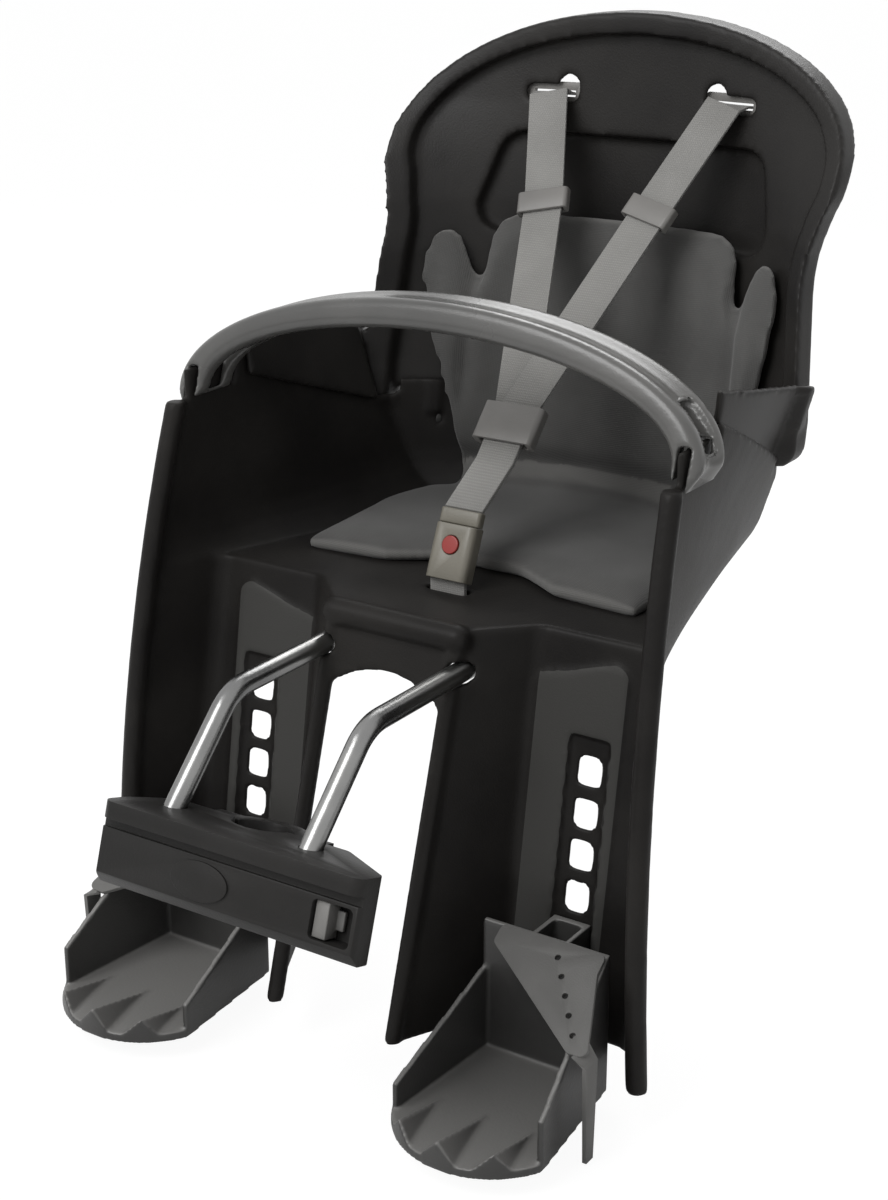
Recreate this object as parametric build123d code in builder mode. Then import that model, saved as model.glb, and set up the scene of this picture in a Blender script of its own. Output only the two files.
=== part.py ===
"""Front-mounted child bike seat: moulded tub and backrest on a steel fork in a head tube block.

The origin is the middle of the head tube clamp. The child looks along -Y, +X is the child's left
and +Z is up. All sizes are millimetres and degrees.
"""

import os
from math import cos, radians, sin

from build123d import *

# Walls and fits
shell_wall = 4.0
clearance = 0.3
soft_gap = 0.4

# Head tube and mounting block
head_tube_diameter = 34.0
head_tube_lean = 18.0
clamp_split = 3.0
block_height = 44.0
block_depth = 46.0
block_right_reach = 68.0
block_left_reach = 96.0
block_shoulder = 56.0
block_end_depth = 19.0
block_corner = 7.0
block_rib_rise = 3.0
block_rib_height = 9.0
block_groove_depth = 2.5
block_groove_height = 5.0
block_chin = 6.0
boss_length = 36.0
boss_height = 20.0
boss_rise = 1.5
cap_wall = 8.0
cap_ear = 11.0
cap_height = 40.0
clamp_bolt_diameter = 6.0
clamp_bolt_head = 10.2
clamp_bolt_socket = 8.4
clamp_bolt_margin = 7.0
clamp_bolt_spread = 22.0
clamp_insert_diameter = 9.0
clamp_insert_length = 14.0

# Release latch in its window at the child's left end of the block
window_width = 24.0
window_height = 20.0
window_depth = 13.0
window_margin = 3.5
latch_width = 8.0
latch_travel = 9.0

# Steel fork
rod_diameter = 12.0
rod_spread = 88.0
rod_level = 75.0
rod_bend_y = 38.0
rod_slope = 45.0
rod_bend_radius = 30.0
rod_rear_y = 292.0
rod_depth_in_block = 36.0

# Bracket that holds the fork under the seat
bracket_y = 228.0
bracket_length = 34.0
bracket_wall = 6.0
bracket_screw_diameter = 6.0
bracket_screw_head = 10.8
bracket_screw_head_height = 3.6

# Seat tub
seat_floor = 98.0
bowl_top = 200.0
bowl_floor_half = 117.0
bowl_flare = 0.37
bowl_round = 30.0
arm_level = 194.0
arm_tongue_rise = 17.0
arm_tongue_front = 148.0
arm_tongue_length = 36.0
tub_rear_level = 139.0

# Leg guards: a slanted inner wall, a flat calf wall and an outer wall with a rolled edge
leg_foot = -125.0
leg_inner_half = 43.0
calf_inner_half = 75.0
calf_outer_half = 149.5
calf_outer_draft = -0.03
calf_y = 145.0
calf_slope = 0.157
inner_edge_y = 98.0
inner_edge_slope = 0.30
outer_edge_half = 172.6
outer_edge_draft = -0.049
outer_edge_y = 91.0
outer_edge_low = -100.0
outer_edge_curve = 0.00053
leg_corner = 12.0
outer_bead = 6.0
inner_bead = 5.0
pommel_lip = 3.0
pommel_face_height = 27.0
pommel_side_height = 45.0
panel_outer_half = 131.0
panel_rise = 2.0
panel_foot = -118.0
panel_inner_top = 72.0
panel_outer_top = 88.0
panel_corner = 8.0
channel_x = 112.0
channel_width = 26.0
channel_depth = 1.5
channel_top = 44.0
lock_hole_width = 13.0
lock_hole_height = 16.0
lock_hole_pitch = 24.0
lock_hole_count = 6
lock_hole_top = 24.0

# Backrest: a curved sheet with wings, a rolled rim and a recess for the helmet
back_foot = 100.0
back_crown = 415.0
back_foot_y = 369.0
back_crown_y = 405.0
wing_foot_half = 165.0
wing_crown_half = 186.0
wing_power = 2.2
wing_steps = ((100.0, 86.0), (255.0, 85.0), (285.0, 78.0), (315.0, 60.0), (345.0, 40.0), (415.0, 8.0))
shoulder_level = 320.0
shoulder_half = 153.0
back_top = 402.0
arch_start = -14.0
waist_half = 143.0
waist_level = 276.0
hem_level = 164.0
hem_low = 108.0
waist_radius = 60.0
hem_radius = 14.0
rim_width = 13.0
rim_ahead = 12.0
rim_behind = 9.0
helmet_half_top = 92.0
helmet_half_foot = 108.0
helmet_top = 331.0
helmet_foot = 262.0
helmet_depth = 8.0
helmet_corner = 16.0
strap_slot_half = 61.0
strap_slot_level = 351.0
strap_slot_length = 34.0
strap_slot_height = 9.0
strap_slot_bump = 6.5

# Backrest screws, one pair low and one pair at the wings
back_screw_diameter = 6.0
back_screw_head = 13.0
back_screw_head_height = 4.0
low_screw_half = 45.0
low_screw_level = 131.0
wing_screw_half = 112.0
wing_screw_level = 147.0

# Grab bar
bar_half = 161.0
bar_rise = 59.0
bar_level = 200.0
bar_y = 167.0
bar_lean = 18.0
bar_thick = 18.0
bar_width = 34.0
bar_round = 6.0
bar_tip = 15.0
bar_slot_length = 32.0
bar_slot_width = 12.0
bar_slot_angle = 17.0
bar_tongue_room = 1.6

# Pad
pad_thick = 10.0
pad_back_top = 284.0
pad_back_half = 86.0
pad_back_corner = 24.0
pad_notch_half = 90.0
pad_notch_level = 232.0
pad_ear_middle = 113.0
pad_ear_top = 286.0
pad_ear_half = 125.0
pad_ear_level = 250.0
pad_ear_round = 8.0
pad_hip_half = 116.0
pad_hip_level = 196.0
pad_hip_round = 20.0
pad_front_y = 196.0
pad_lobe_half = 116.0
pad_crotch_y = 214.0
pad_crotch_half = 22.0
pad_crotch_mouth = 60.0

# Harness
webbing_width = 25.0
webbing_thick = 1.6
adjuster_margin = 4.0
adjuster_height = 14.0
adjuster_thick = 8.0
adjuster_room = 2.4
layer_gap = 1.28
adjuster_level = 291.0
adjuster_y = 348.5
left_adjuster_x = 33.0
right_adjuster_x = -40.0
slider_y = 247.0
slider_level = 179.0
slider_height = 24.0
slider_thick = 10.0
slider_opening = 6.0
slider_side_room = 7.0
buckle_width = 27.0
buckle_height = 32.0
buckle_thick = 13.0
buckle_lean = 23.2
buckle_y = 188.0
buckle_level = 117.5
buckle_button_diameter = 10.5
buckle_button_rise = 1.0
buckle_button_travel = 2.0
buckle_button_length = 3.0
buckle_button_offset = 4.0
tongue_thick = 2.6
tongue_width = 20.0
tongue_in = 12.0
tongue_out = 9.0
anchor_width = 38.0
anchor_depth = 14.0
anchor_thick = 4.0

# Footrests
footrest_inner = 76.0
footrest_outer = 154.0
footrest_toe_inner = 70.0
footrest_toe_outer = 163.0
footrest_wall = 3.5
heel_y = 100.0
heel_top = -54.0
sole_level = -132.0
sole_thick = 5.0
toe_y = -8.0
toe_corner_y = 20.0
inner_wall_heel = -82.0
inner_wall_toe = -117.0
outer_wall_toe = -108.0
toe_ridge_height = 13.0
toe_ridge_length = 48.0
toe_ridge_count = 3
toe_ridge_run_out = 0.08
carriage_room = 1.0
carriage_top = -60.0
carriage_foot = -122.0
carriage_web = 3.5
foot_strap_thick = 2.5
foot_strap_inner = 90.0
foot_strap_band = 12.0
foot_strap_neck = 12.0
foot_strap_neck_x = 164.0
foot_strap_run = 58.0
foot_strap_corner = 4.0
foot_strap_hole = 3.5
foot_strap_hole_count = 5
foot_strap_tail = 7.0
foot_strap_tail_length = 64.0
foot_strap_tail_out = 6.0

os.makedirs("parts", exist_ok=True)


def save(piece, name):
    """Label a finished piece and write it as its own file."""
    piece.part.label = name
    export_step(piece.part, f"parts/{name}.step")


def wing_half(z):
    """Half-width of the back surface at a level."""
    rise = (z - back_foot) / (back_crown - back_foot)
    return wing_foot_half + rise * (wing_crown_half - wing_foot_half)


def wing_reach(z):
    """How far the wings reach forwards at a level, straight between the steps."""
    for (low, near), (high, far) in zip(wing_steps, wing_steps[1:]):
        if z <= high:
            break
    return near + (far - near) * (z - low) / (high - low)


def back_y(x, z):
    """Front-to-back place of the backrest's middle surface."""
    rise = (z - back_foot) / (back_crown - back_foot)
    centre = back_foot_y + rise * (back_crown_y - back_foot_y)
    return centre - wing_reach(z) * (abs(x) / wing_half(z)) ** wing_power


def back_slab(near, far):
    """Curved sheet between two distances behind the backrest's middle surface."""
    with BuildPart() as slab:
        for level, _ in wing_steps:
            stops = [wing_half(level) * step / 5 for step in range(-5, 6)]
            with BuildSketch(Plane.XY.offset(level)):
                with BuildLine():
                    front = Spline([(x, back_y(x, level) + near) for x in stops])
                    rear = Spline([(x, back_y(x, level) + far) for x in stops])
                    Line(front @ 0, rear @ 0)
                    Line(front @ 1, rear @ 1)
                make_face()
        loft(ruled=True)
    return slab.part


def edge_x(z):
    """Outer half-width of the leg guard's and arm's front edge."""
    return outer_edge_half + outer_edge_draft * z


def edge_y(z):
    """Front-to-back place of the outer front edge."""
    return outer_edge_y + outer_edge_curve * (z - outer_edge_low) ** 2


def inner_y(z):
    """Front-to-back place of the leg guard's inner edge."""
    return inner_edge_y + inner_edge_slope * z


def calf_at(z):
    """Front-to-back place of the calf wall's front face."""
    return calf_y + calf_slope * z


def leg_points(z):
    """Plan of a leg guard's front face, from its inner edge to its outer edge."""
    return [
        (leg_inner_half, inner_y(z)),
        (calf_inner_half, calf_at(z)),
        (calf_outer_half + calf_outer_draft * z, calf_at(z)),
        (edge_x(z) - shell_wall, edge_y(z)),
    ]


def back_plane(x, z):
    """Plane on the backrest's middle surface, facing backwards."""
    step = 1.0
    across = (back_y(x + step, z) - back_y(x - step, z)) / (2 * step)
    upward = (back_y(x, z + step) - back_y(x, z - step)) / (2 * step)
    return Plane((x, back_y(x, z), z), x_dir=(1, across, 0), z_dir=(-across, 1, -upward))


nest = shell_wall / 2 + clearance
reach_all = 600.0
back_screw_spots = [
    (side * half, level)
    for half, level in ((low_screw_half, low_screw_level), (wing_screw_half, wing_screw_level))
    for side in (-1, 1)
]
bracket_half = rod_spread / 2 + rod_diameter / 2 + bracket_screw_diameter + bracket_wall
bracket_screw_places = [
    (side * (bracket_half - bracket_screw_diameter), bracket_y + end * bracket_length / 4, seat_floor)
    for side in (-1, 1)
    for end in (-1, 1)
]
buckle_up = Vector(0, sin(radians(buckle_lean)), cos(radians(buckle_lean)))
buckle_middle = Vector(0, buckle_y, buckle_level)
buckle_foot = buckle_middle - buckle_up * (buckle_height / 2)
crotch_width = webbing_width - shell_wall / 2
crotch_thick = 2 * webbing_thick
crotch_room = crotch_thick + shell_wall
crotch_y = buckle_foot.Y


def bowl(inset, floor, top, front_room):
    """Filled form of the bowl, with a rounded bottom, drawn in by an inset."""
    turns = [radians(90 * step / 5) for step in range(1, 6)]
    levels = [(floor + bowl_round * (1 - cos(turn)), bowl_round * (1 - sin(turn))) for turn in turns]
    levels[0] = (floor, levels[0][1])
    levels.append((top, 0.0))
    with BuildPart() as form:
        for level, tuck in levels:
            half = bowl_floor_half + bowl_flare * (level - seat_floor) - tuck - inset
            stops = [half * step / 5 for step in range(-5, 6)]
            with BuildSketch(Plane.XY.offset(level)):
                with BuildLine():
                    rear = Spline([(x, back_y(x, level) - nest - tuck - inset) for x in stops])
                    front_x = edge_x(level) - inset
                    run_on = front_room / ((rear @ 1).Y - edge_y(level))
                    front_x += run_on * (front_x - half)
                    front_y = edge_y(level) - front_room
                    Polyline(rear @ 1, (front_x, front_y), (-front_x, front_y), rear @ 0)
                make_face()
        loft(ruled=True)
    return form.part


def leg_levels(top):
    """Four even levels from a leg guard's foot to a given top."""
    return [leg_foot + (top - leg_foot) * step / 3 for step in range(4)]


# Seat tub
with BuildPart() as leg_room:
    room_foot = leg_foot - outer_bead
    for z in (room_foot, (room_foot + seat_floor) / 2, seat_floor + bowl_round):
        with BuildSketch(Plane.XY.offset(z)):
            with BuildLine():
                room = [(0, inner_y(z))] + leg_points(z)
                room += [(edge_x(z) - shell_wall, edge_y(z) - reach_all), (0, edge_y(z) - reach_all)]
                Polyline(*room, close=True)
            make_face()
    loft()

with BuildPart() as leg_wall:
    for z in leg_levels(seat_floor):
        with BuildSketch(Plane.XY.offset(z)):
            with BuildLine():
                FilletPolyline(*leg_points(z), radius=leg_corner)
                offset(amount=shell_wall, side=Side.LEFT)
            make_face()
    loft()

with BuildPart() as outer_edge:
    for z in leg_levels(arm_level):
        with BuildSketch(Plane.XY.offset(z)):
            with Locations((edge_x(z) - shell_wall / 2, edge_y(z) + outer_bead / 2)):
                Circle(outer_bead)
    loft()

lip_radius = inner_bead + pommel_lip
lip_level = seat_floor - lip_radius + pommel_lip
pommel_half = leg_inner_half - shell_wall / 2
pommel_plane = Plane(
    (0, inner_y(lip_level) + inner_bead / 2, lip_level),
    x_dir=(1, 0, 0),
    z_dir=(0, -1, inner_edge_slope),
)
with BuildPart() as inner_edge:
    for z in leg_levels(lip_level):
        with BuildSketch(Plane.XY.offset(z)):
            with Locations((leg_inner_half - shell_wall / 2, inner_y(z) + inner_bead / 2)):
                Circle(inner_bead)
    loft()

calf_plane = Plane((0, calf_y, 0), x_dir=(1, 0, 0), z_dir=(0, -1, calf_slope))
bowl_outside = bowl(0, seat_floor - shell_wall, bowl_top + arm_tongue_rise, 0)
bowl_inside = bowl(shell_wall, seat_floor, bowl_top + arm_tongue_rise + shell_wall, reach_all / 10)

with BuildPart() as tub_half:
    add(leg_wall.part)
    add(outer_edge.part)
    add(inner_edge.part)
    with BuildSketch(calf_plane.offset(-shell_wall / 2)):
        with BuildLine():
            Polyline(
                (calf_inner_half, panel_foot),
                (panel_outer_half, panel_foot),
                (panel_outer_half, panel_outer_top),
                (calf_inner_half, panel_inner_top),
                close=True,
            )
        panel = make_face()
        fillet(panel.vertices(), panel_corner)
    extrude(amount=shell_wall / 2 + panel_rise)
    with BuildSketch(calf_plane.offset(-channel_depth)):
        with Locations((channel_x, channel_top)):
            Rectangle(channel_width, channel_top - leg_foot, align=(Align.CENTER, Align.MAX))
    extrude(amount=outer_bead, mode=Mode.SUBTRACT)
    with BuildSketch(calf_plane):
        for row in range(lock_hole_count):
            with Locations((channel_x, lock_hole_top - row * lock_hole_pitch)):
                Rectangle(lock_hole_width, lock_hole_height)
    extrude(amount=2 * shell_wall, both=True, mode=Mode.SUBTRACT)

tub_crest = arm_level + arm_tongue_rise
with BuildPart() as seat_tub:
    add(bowl_outside)
    add(bowl_inside, mode=Mode.SUBTRACT)
    add(leg_room.part, mode=Mode.SUBTRACT)
    mirror(leg_room.part, about=Plane.YZ, mode=Mode.SUBTRACT)
    with BuildSketch(Plane.YZ):
        with BuildLine():
            Polyline(
                (edge_y(arm_level) - reach_all / 5, arm_level),
                (arm_tongue_front, arm_level),
                (arm_tongue_front, tub_crest),
                (arm_tongue_front + arm_tongue_length, tub_crest),
                (arm_tongue_front + arm_tongue_length, arm_level),
                (back_foot_y, tub_rear_level),
                (back_foot_y + reach_all / 5, tub_rear_level),
                (back_foot_y + reach_all / 5, tub_crest + reach_all),
                (edge_y(arm_level) - reach_all / 5, tub_crest + reach_all),
                close=True,
            )
        make_face()
    extrude(amount=reach_all, both=True, mode=Mode.SUBTRACT)
    add(tub_half.part)
    mirror(tub_half.part, about=Plane.YZ)
    with BuildSketch(pommel_plane):
        with BuildLine():
            arch = ThreePointArc(
                (-pommel_half, -pommel_side_height),
                (0, -pommel_face_height),
                (pommel_half, -pommel_side_height),
            )
            Polyline(arch @ 1, (pommel_half, 0), (-pommel_half, 0), arch @ 0)
        make_face()
    extrude(amount=shell_wall / 2, both=True)
    with Locations(pommel_plane):
        Cylinder(lip_radius, 2 * pommel_half, rotation=(0, 90, 0))
        with Locations((pommel_half, 0, 0), (-pommel_half, 0, 0)):
            Sphere(lip_radius)
    for side in (-1, 1):
        with Locations((side * rod_spread / 2, calf_y, rod_level)):
            Cylinder(rod_diameter / 2 + 2 * clearance, reach_all / 4, rotation=(90, 0, 0), mode=Mode.SUBTRACT)
    with Locations((0, crotch_y, seat_floor)):
        Box(crotch_width + shell_wall, crotch_room, reach_all / 20, mode=Mode.SUBTRACT)
    with Locations(*bracket_screw_places):
        Cylinder(bracket_screw_diameter / 2 + clearance, reach_all / 20, mode=Mode.SUBTRACT)
    for spot in back_screw_spots:
        with Locations(back_plane(*spot)):
            Cylinder(back_screw_diameter / 2 + clearance, reach_all / 10, mode=Mode.SUBTRACT)
save(seat_tub, "seat_tub")


# Backrest
def back_outline(inset):
    """Front view of the backrest, drawn in by an inset."""
    half = waist_half - inset
    with BuildSketch() as front_view:
        with BuildLine():
            arch = EllipticalCenterArc(
                (0, shoulder_level),
                shoulder_half - inset,
                back_top - shoulder_level - inset,
                arch_start,
                arc_size=180 - 2 * arch_start,
            )
            FilletPolyline(
                arch @ 0,
                (half, waist_level),
                (half, hem_level + inset),
                (0, hem_low + inset),
                (-half, hem_level + inset),
                (-half, waist_level),
                arch @ 1,
                radius=[waist_radius, hem_radius, 2 * waist_radius, hem_radius, waist_radius],
            )
        make_face()
    return front_view.sketch


def helmet_outline(inset):
    """Front view of the helmet recess, drawn in by an inset."""
    with BuildSketch() as front_view:
        with BuildLine():
            FilletPolyline(
                (helmet_half_foot - inset, helmet_foot + inset),
                (helmet_half_top - inset, helmet_top - inset),
                (inset - helmet_half_top, helmet_top - inset),
                (inset - helmet_half_foot, helmet_foot + inset),
                radius=helmet_corner,
                close=True,
            )
        make_face()
    return front_view.sketch


with BuildPart() as rim:
    with BuildSketch(Plane.XZ):
        add(back_outline(0))
        add(back_outline(rim_width), mode=Mode.SUBTRACT)
        with Locations((0, hem_low)):
            Rectangle(
                2 * (waist_half - rim_width),
                waist_level - hem_low,
                align=(Align.CENTER, Align.MIN),
                mode=Mode.SUBTRACT,
            )
    extrude(amount=reach_all, both=True)
    add(back_slab(-rim_ahead, rim_behind), mode=Mode.INTERSECT)

with BuildPart() as helmet_shell:
    with BuildSketch(Plane.XZ):
        add(helmet_outline(0))
    extrude(amount=reach_all, both=True)
    add(back_slab(0, shell_wall / 2 + helmet_depth), mode=Mode.INTERSECT)

with BuildPart() as helmet_room:
    with BuildSketch(Plane.XZ):
        add(helmet_outline(shell_wall))
    extrude(amount=reach_all, both=True)
    add(back_slab(-2 * helmet_depth, helmet_depth - shell_wall / 2), mode=Mode.INTERSECT)

with BuildPart() as backrest:
    with BuildSketch(Plane.XZ):
        add(back_outline(rim_width / 2))
    extrude(amount=reach_all, both=True)
    add(back_slab(-shell_wall / 2, shell_wall / 2), mode=Mode.INTERSECT)
    add(rim.part)
    add(helmet_shell.part)
    add(helmet_room.part, mode=Mode.SUBTRACT)
    with BuildSketch(Plane.XZ):
        for side in (-1, 1):
            with Locations((side * strap_slot_half, strap_slot_level)):
                SlotOverall(strap_slot_length, strap_slot_height)
            bump_half = strap_slot_half - strap_slot_length / 2 + strap_slot_bump
            with Locations((side * bump_half, strap_slot_level + strap_slot_height / 2)):
                Circle(strap_slot_bump)
    extrude(amount=reach_all, both=True, mode=Mode.SUBTRACT)
    for spot in back_screw_spots:
        with Locations(back_plane(*spot)):
            Cylinder(back_screw_diameter / 2 + clearance, reach_all / 10, mode=Mode.SUBTRACT)
save(backrest, "backrest")

with BuildPart() as backrest_screws:
    for spot in back_screw_spots:
        seat = back_plane(*spot).offset(shell_wall / 2 + clearance)
        with BuildSketch(seat):
            Circle(back_screw_head / 2)
        extrude(amount=back_screw_head_height)
        with BuildSketch(seat):
            Circle(back_screw_diameter / 2)
        extrude(amount=-(2 * shell_wall - 2 * clearance))
save(backrest_screws, "backrest_screws")

# Grab bar
bar_plane = Plane(
    (0, bar_y, bar_level),
    x_dir=(1, 0, 0),
    z_dir=(0, -cos(radians(bar_lean)), sin(radians(bar_lean))),
)
arm_rear_half = bowl_floor_half + bowl_flare * (bar_level - seat_floor)
arm_rear_y = back_y(arm_rear_half, bar_level) - nest
arm_share = (bar_y - edge_y(bar_level)) / (arm_rear_y - edge_y(bar_level))
arm_x = edge_x(bar_level) + arm_share * (arm_rear_half - edge_x(bar_level)) - shell_wall / 2
bar_way = (0, -1, 0)
slot_turn = radians(bar_slot_angle)
slot_spot = (bar_half * cos(slot_turn), bar_rise * sin(slot_turn))
slot_way = Vector(-bar_half * sin(slot_turn), bar_rise * cos(slot_turn), 0).get_angle(Vector(1, 0, 0))
with BuildPart() as grab_bar:
    with BuildSketch(bar_plane):
        with BuildLine():
            half_bar = bar_thick / 2
            top = EllipticalCenterArc((0, 0), bar_half + half_bar, bar_rise + half_bar, arc_size=180)
            low = EllipticalCenterArc((0, 0), bar_half - half_bar, bar_rise - half_bar, arc_size=180)
            Polyline(top @ 0, (bar_half, -bar_tip), low @ 0)
            Polyline(top @ 1, (-bar_half, -bar_tip), low @ 1)
        make_face()
    extrude(amount=bar_width / 2, dir=bar_way, both=True)
    fillet(grab_bar.edges().filter_by(GeomType.ELLIPSE), bar_round)
    for side in (-1, 1):
        with BuildSketch(bar_plane):
            with Locations((side * slot_spot[0], slot_spot[1])):
                Rectangle(bar_slot_length, 3 * bar_thick, rotation=side * slot_way)
        extrude(amount=bar_slot_width / 2, dir=bar_way, both=True, mode=Mode.SUBTRACT)
        with Locations((side * arm_x, bar_y, tub_crest + bar_tongue_room)):
            Box(
                shell_wall + 2 * bar_tongue_room,
                3 * bar_width,
                2 * (arm_tongue_rise + bar_tip),
                align=(Align.CENTER, Align.CENTER, Align.MAX),
                mode=Mode.SUBTRACT,
            )
save(grab_bar, "grab_bar")

# Seat pad: back section with two ears, and seat section with two lobes
pad_rear = -(nest + shell_wall + soft_gap)
with BuildPart() as pad_back:
    with BuildSketch(Plane.XZ):
        with BuildLine():
            half_line = FilletPolyline(
                (0, pad_back_top),
                (pad_back_half, pad_back_top),
                (pad_notch_half, pad_notch_level),
                (pad_ear_middle, pad_ear_top),
                (pad_ear_half, pad_ear_level),
                (pad_hip_half, pad_hip_level),
                (pad_back_half, seat_floor + soft_gap),
                (0, seat_floor + soft_gap),
                radius=[
                    pad_back_corner,
                    soft_gap,
                    pad_ear_round,
                    pad_hip_round,
                    pad_hip_round,
                    pad_ear_round,
                ],
            )
            mirror(half_line, about=Plane.YZ)
        make_face()
    extrude(amount=reach_all, both=True)
    add(back_slab(pad_rear - pad_thick, pad_rear), mode=Mode.INTERSECT)

with BuildPart() as seat_pad:
    with BuildSketch(Plane.XY.offset(seat_floor + soft_gap)):
        with BuildLine():
            half_outline = [
                (pad_crotch_half, pad_crotch_y),
                (pad_crotch_mouth, pad_front_y),
                (pad_lobe_half, pad_front_y),
                (pad_lobe_half, back_foot_y),
            ]
            outline = half_outline + [(-x, y) for x, y in reversed(half_outline)]
            Polyline(*outline, close=True)
        make_face()
    extrude(amount=pad_thick)
    add(pad_back.part)
    add(
        bowl(shell_wall + soft_gap, seat_floor + soft_gap, back_crown, reach_all / 10),
        mode=Mode.INTERSECT,
    )
save(seat_pad, "seat_pad")


# Harness
def ribbon(stops, thick):
    """Flat band through stops of a place, a face direction and a width."""
    places = [Vector(*stop[0]) for stop in stops]
    with BuildPart() as band:
        for index, (_, facing, width) in enumerate(stops):
            before = places[max(index - 1, 0)]
            after = places[min(index + 1, len(places) - 1)]
            along = (after - before).normalized()
            across = along.cross(Vector(*facing)).normalized()
            with BuildSketch(Plane(places[index], x_dir=across, z_dir=along)):
                Rectangle(width, thick)
        loft(ruled=True)
    return band.part


def sleeve(plane, width, thick, opening_width, opening_thick, height):
    """Rounded keeper that a flat band passes through."""
    with BuildPart() as keeper:
        with BuildSketch(plane):
            RectangleRounded(width, thick, thick / 3)
            Rectangle(opening_width, opening_thick, mode=Mode.SUBTRACT)
        extrude(amount=height / 2, both=True)
    return keeper.part


slider_middle = Vector(0, slider_y, slider_level)
slider_up = (Vector(0, adjuster_y, adjuster_level) - slider_middle).normalized()
slider_face = slider_up.cross(Vector(1, 0, 0)).normalized() * -1
for side, adjuster_x, name in ((1, left_adjuster_x, "left"), (-1, right_adjuster_x, "right")):
    slot_plane = back_plane(side * strap_slot_half, strap_slot_level)
    behind = slot_plane.origin + slot_plane.z_dir * (shell_wall + anchor_thick)
    ahead = slot_plane.origin - slot_plane.z_dir * (shell_wall + anchor_thick)
    adjuster_spot = Vector(adjuster_x, adjuster_y, adjuster_level)
    layer = slider_face * (side * layer_gap)
    strap_end = slider_middle + slider_up * webbing_thick + layer
    along = (adjuster_spot - strap_end).normalized()
    above_slider = strap_end + along * slider_height
    with BuildPart() as shoulder_strap:
        add(
            ribbon(
                [
                    (behind, (0, 0, 1), webbing_width),
                    (slot_plane.origin, (0, -0.2, 1), webbing_width),
                    (ahead, slider_face, webbing_width),
                    (adjuster_spot, slider_face, webbing_width),
                    (above_slider, slider_face, webbing_width),
                    (strap_end, slider_face, webbing_width),
                ],
                webbing_thick,
            )
        )
    save(shoulder_strap, f"{name}_shoulder_strap")

    way = (ahead - above_slider).normalized()
    across = way.cross(Vector(*slider_face)).normalized()
    with BuildPart() as adjuster:
        add(
            sleeve(
                Plane(adjuster_spot, x_dir=across, z_dir=way),
                webbing_width + 2 * adjuster_margin,
                adjuster_thick,
                webbing_width + adjuster_room,
                webbing_thick + adjuster_room,
                adjuster_height,
            )
        )
    save(adjuster, f"{name}_strap_adjuster")

    with BuildPart() as strap_anchor:
        with BuildSketch(slot_plane.offset(shell_wall / 2 + clearance)):
            RectangleRounded(anchor_width + shell_wall, anchor_depth, shell_wall)
            Rectangle(webbing_width + adjuster_room, webbing_thick + adjuster_room, mode=Mode.SUBTRACT)
        extrude(amount=anchor_thick)
    save(strap_anchor, f"{name}_strap_anchor")

slider_plane = Plane(slider_middle, x_dir=(1, 0, 0), z_dir=slider_up)
with BuildPart() as strap_slider:
    add(
        sleeve(
            slider_plane,
            webbing_width + slider_side_room + 2 * adjuster_margin,
            slider_thick,
            webbing_width + slider_side_room,
            slider_opening,
            slider_height,
        )
    )
save(strap_slider, "strap_slider")

buckle_plane = Plane(buckle_middle, x_dir=(1, 0, 0), z_dir=buckle_up)
buckle_front = Plane(
    buckle_middle + buckle_plane.y_dir * (-buckle_thick / 2) + buckle_up * buckle_button_offset,
    x_dir=(1, 0, 0),
    z_dir=buckle_plane.y_dir * -1,
)
button_depth = buckle_button_length - buckle_button_rise
with BuildPart() as buckle_housing:
    with BuildSketch(buckle_plane):
        RectangleRounded(buckle_width, buckle_thick, buckle_thick / 3)
    extrude(amount=buckle_height / 2, both=True)
    with BuildSketch(buckle_plane.offset(buckle_height / 2)):
        Rectangle(tongue_width + 2 * clearance, tongue_thick + 2 * clearance)
    extrude(amount=-(tongue_in + clearance), mode=Mode.SUBTRACT)
    with BuildSketch(buckle_front):
        Circle(buckle_button_diameter / 2 + clearance)
    extrude(amount=-(button_depth + buckle_button_travel + clearance), mode=Mode.SUBTRACT)
save(buckle_housing, "buckle_housing")

with BuildPart() as buckle_button:
    with BuildSketch(buckle_front.offset(buckle_button_rise)):
        Circle(buckle_button_diameter / 2)
    extrude(amount=-buckle_button_length)
    fillet(buckle_button.faces().sort_by(Axis.Y)[0].edges(), buckle_button_rise / 2)
save(buckle_button, "buckle_button")

with BuildPart() as buckle_tongue:
    with BuildSketch(buckle_plane.offset(buckle_height / 2 - tongue_in)):
        Rectangle(tongue_width, tongue_thick)
    extrude(amount=tongue_in + tongue_out)
    with BuildSketch(buckle_plane.offset(buckle_height / 2 + clearance)):
        RectangleRounded(buckle_width, crotch_room, crotch_room / 3)
    extrude(amount=tongue_out - clearance)
save(buckle_tongue, "buckle_tongue")

tongue_top = buckle_middle + buckle_up * (buckle_height / 2 + tongue_out)
with BuildPart() as centre_strap:
    add(
        ribbon(
            [
                (slider_middle - slider_up * webbing_thick, slider_face, webbing_width),
                (slider_middle - slider_up * slider_height, slider_face, webbing_width),
                (tongue_top, slider_face, webbing_width),
            ],
            crotch_thick,
        )
    )
    add(buckle_tongue.part, mode=Mode.SUBTRACT)
save(centre_strap, "centre_strap")

anchor_top = seat_floor - shell_wall - clearance
with BuildPart() as crotch_strap:
    with BuildSketch(Plane((0, crotch_y, anchor_top - anchor_thick - shell_wall))):
        Rectangle(crotch_width, crotch_thick)
    extrude(amount=buckle_foot.Z - anchor_top + anchor_thick + shell_wall + crotch_thick)
    add(buckle_housing.part, mode=Mode.SUBTRACT)
save(crotch_strap, "crotch_strap")

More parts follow.
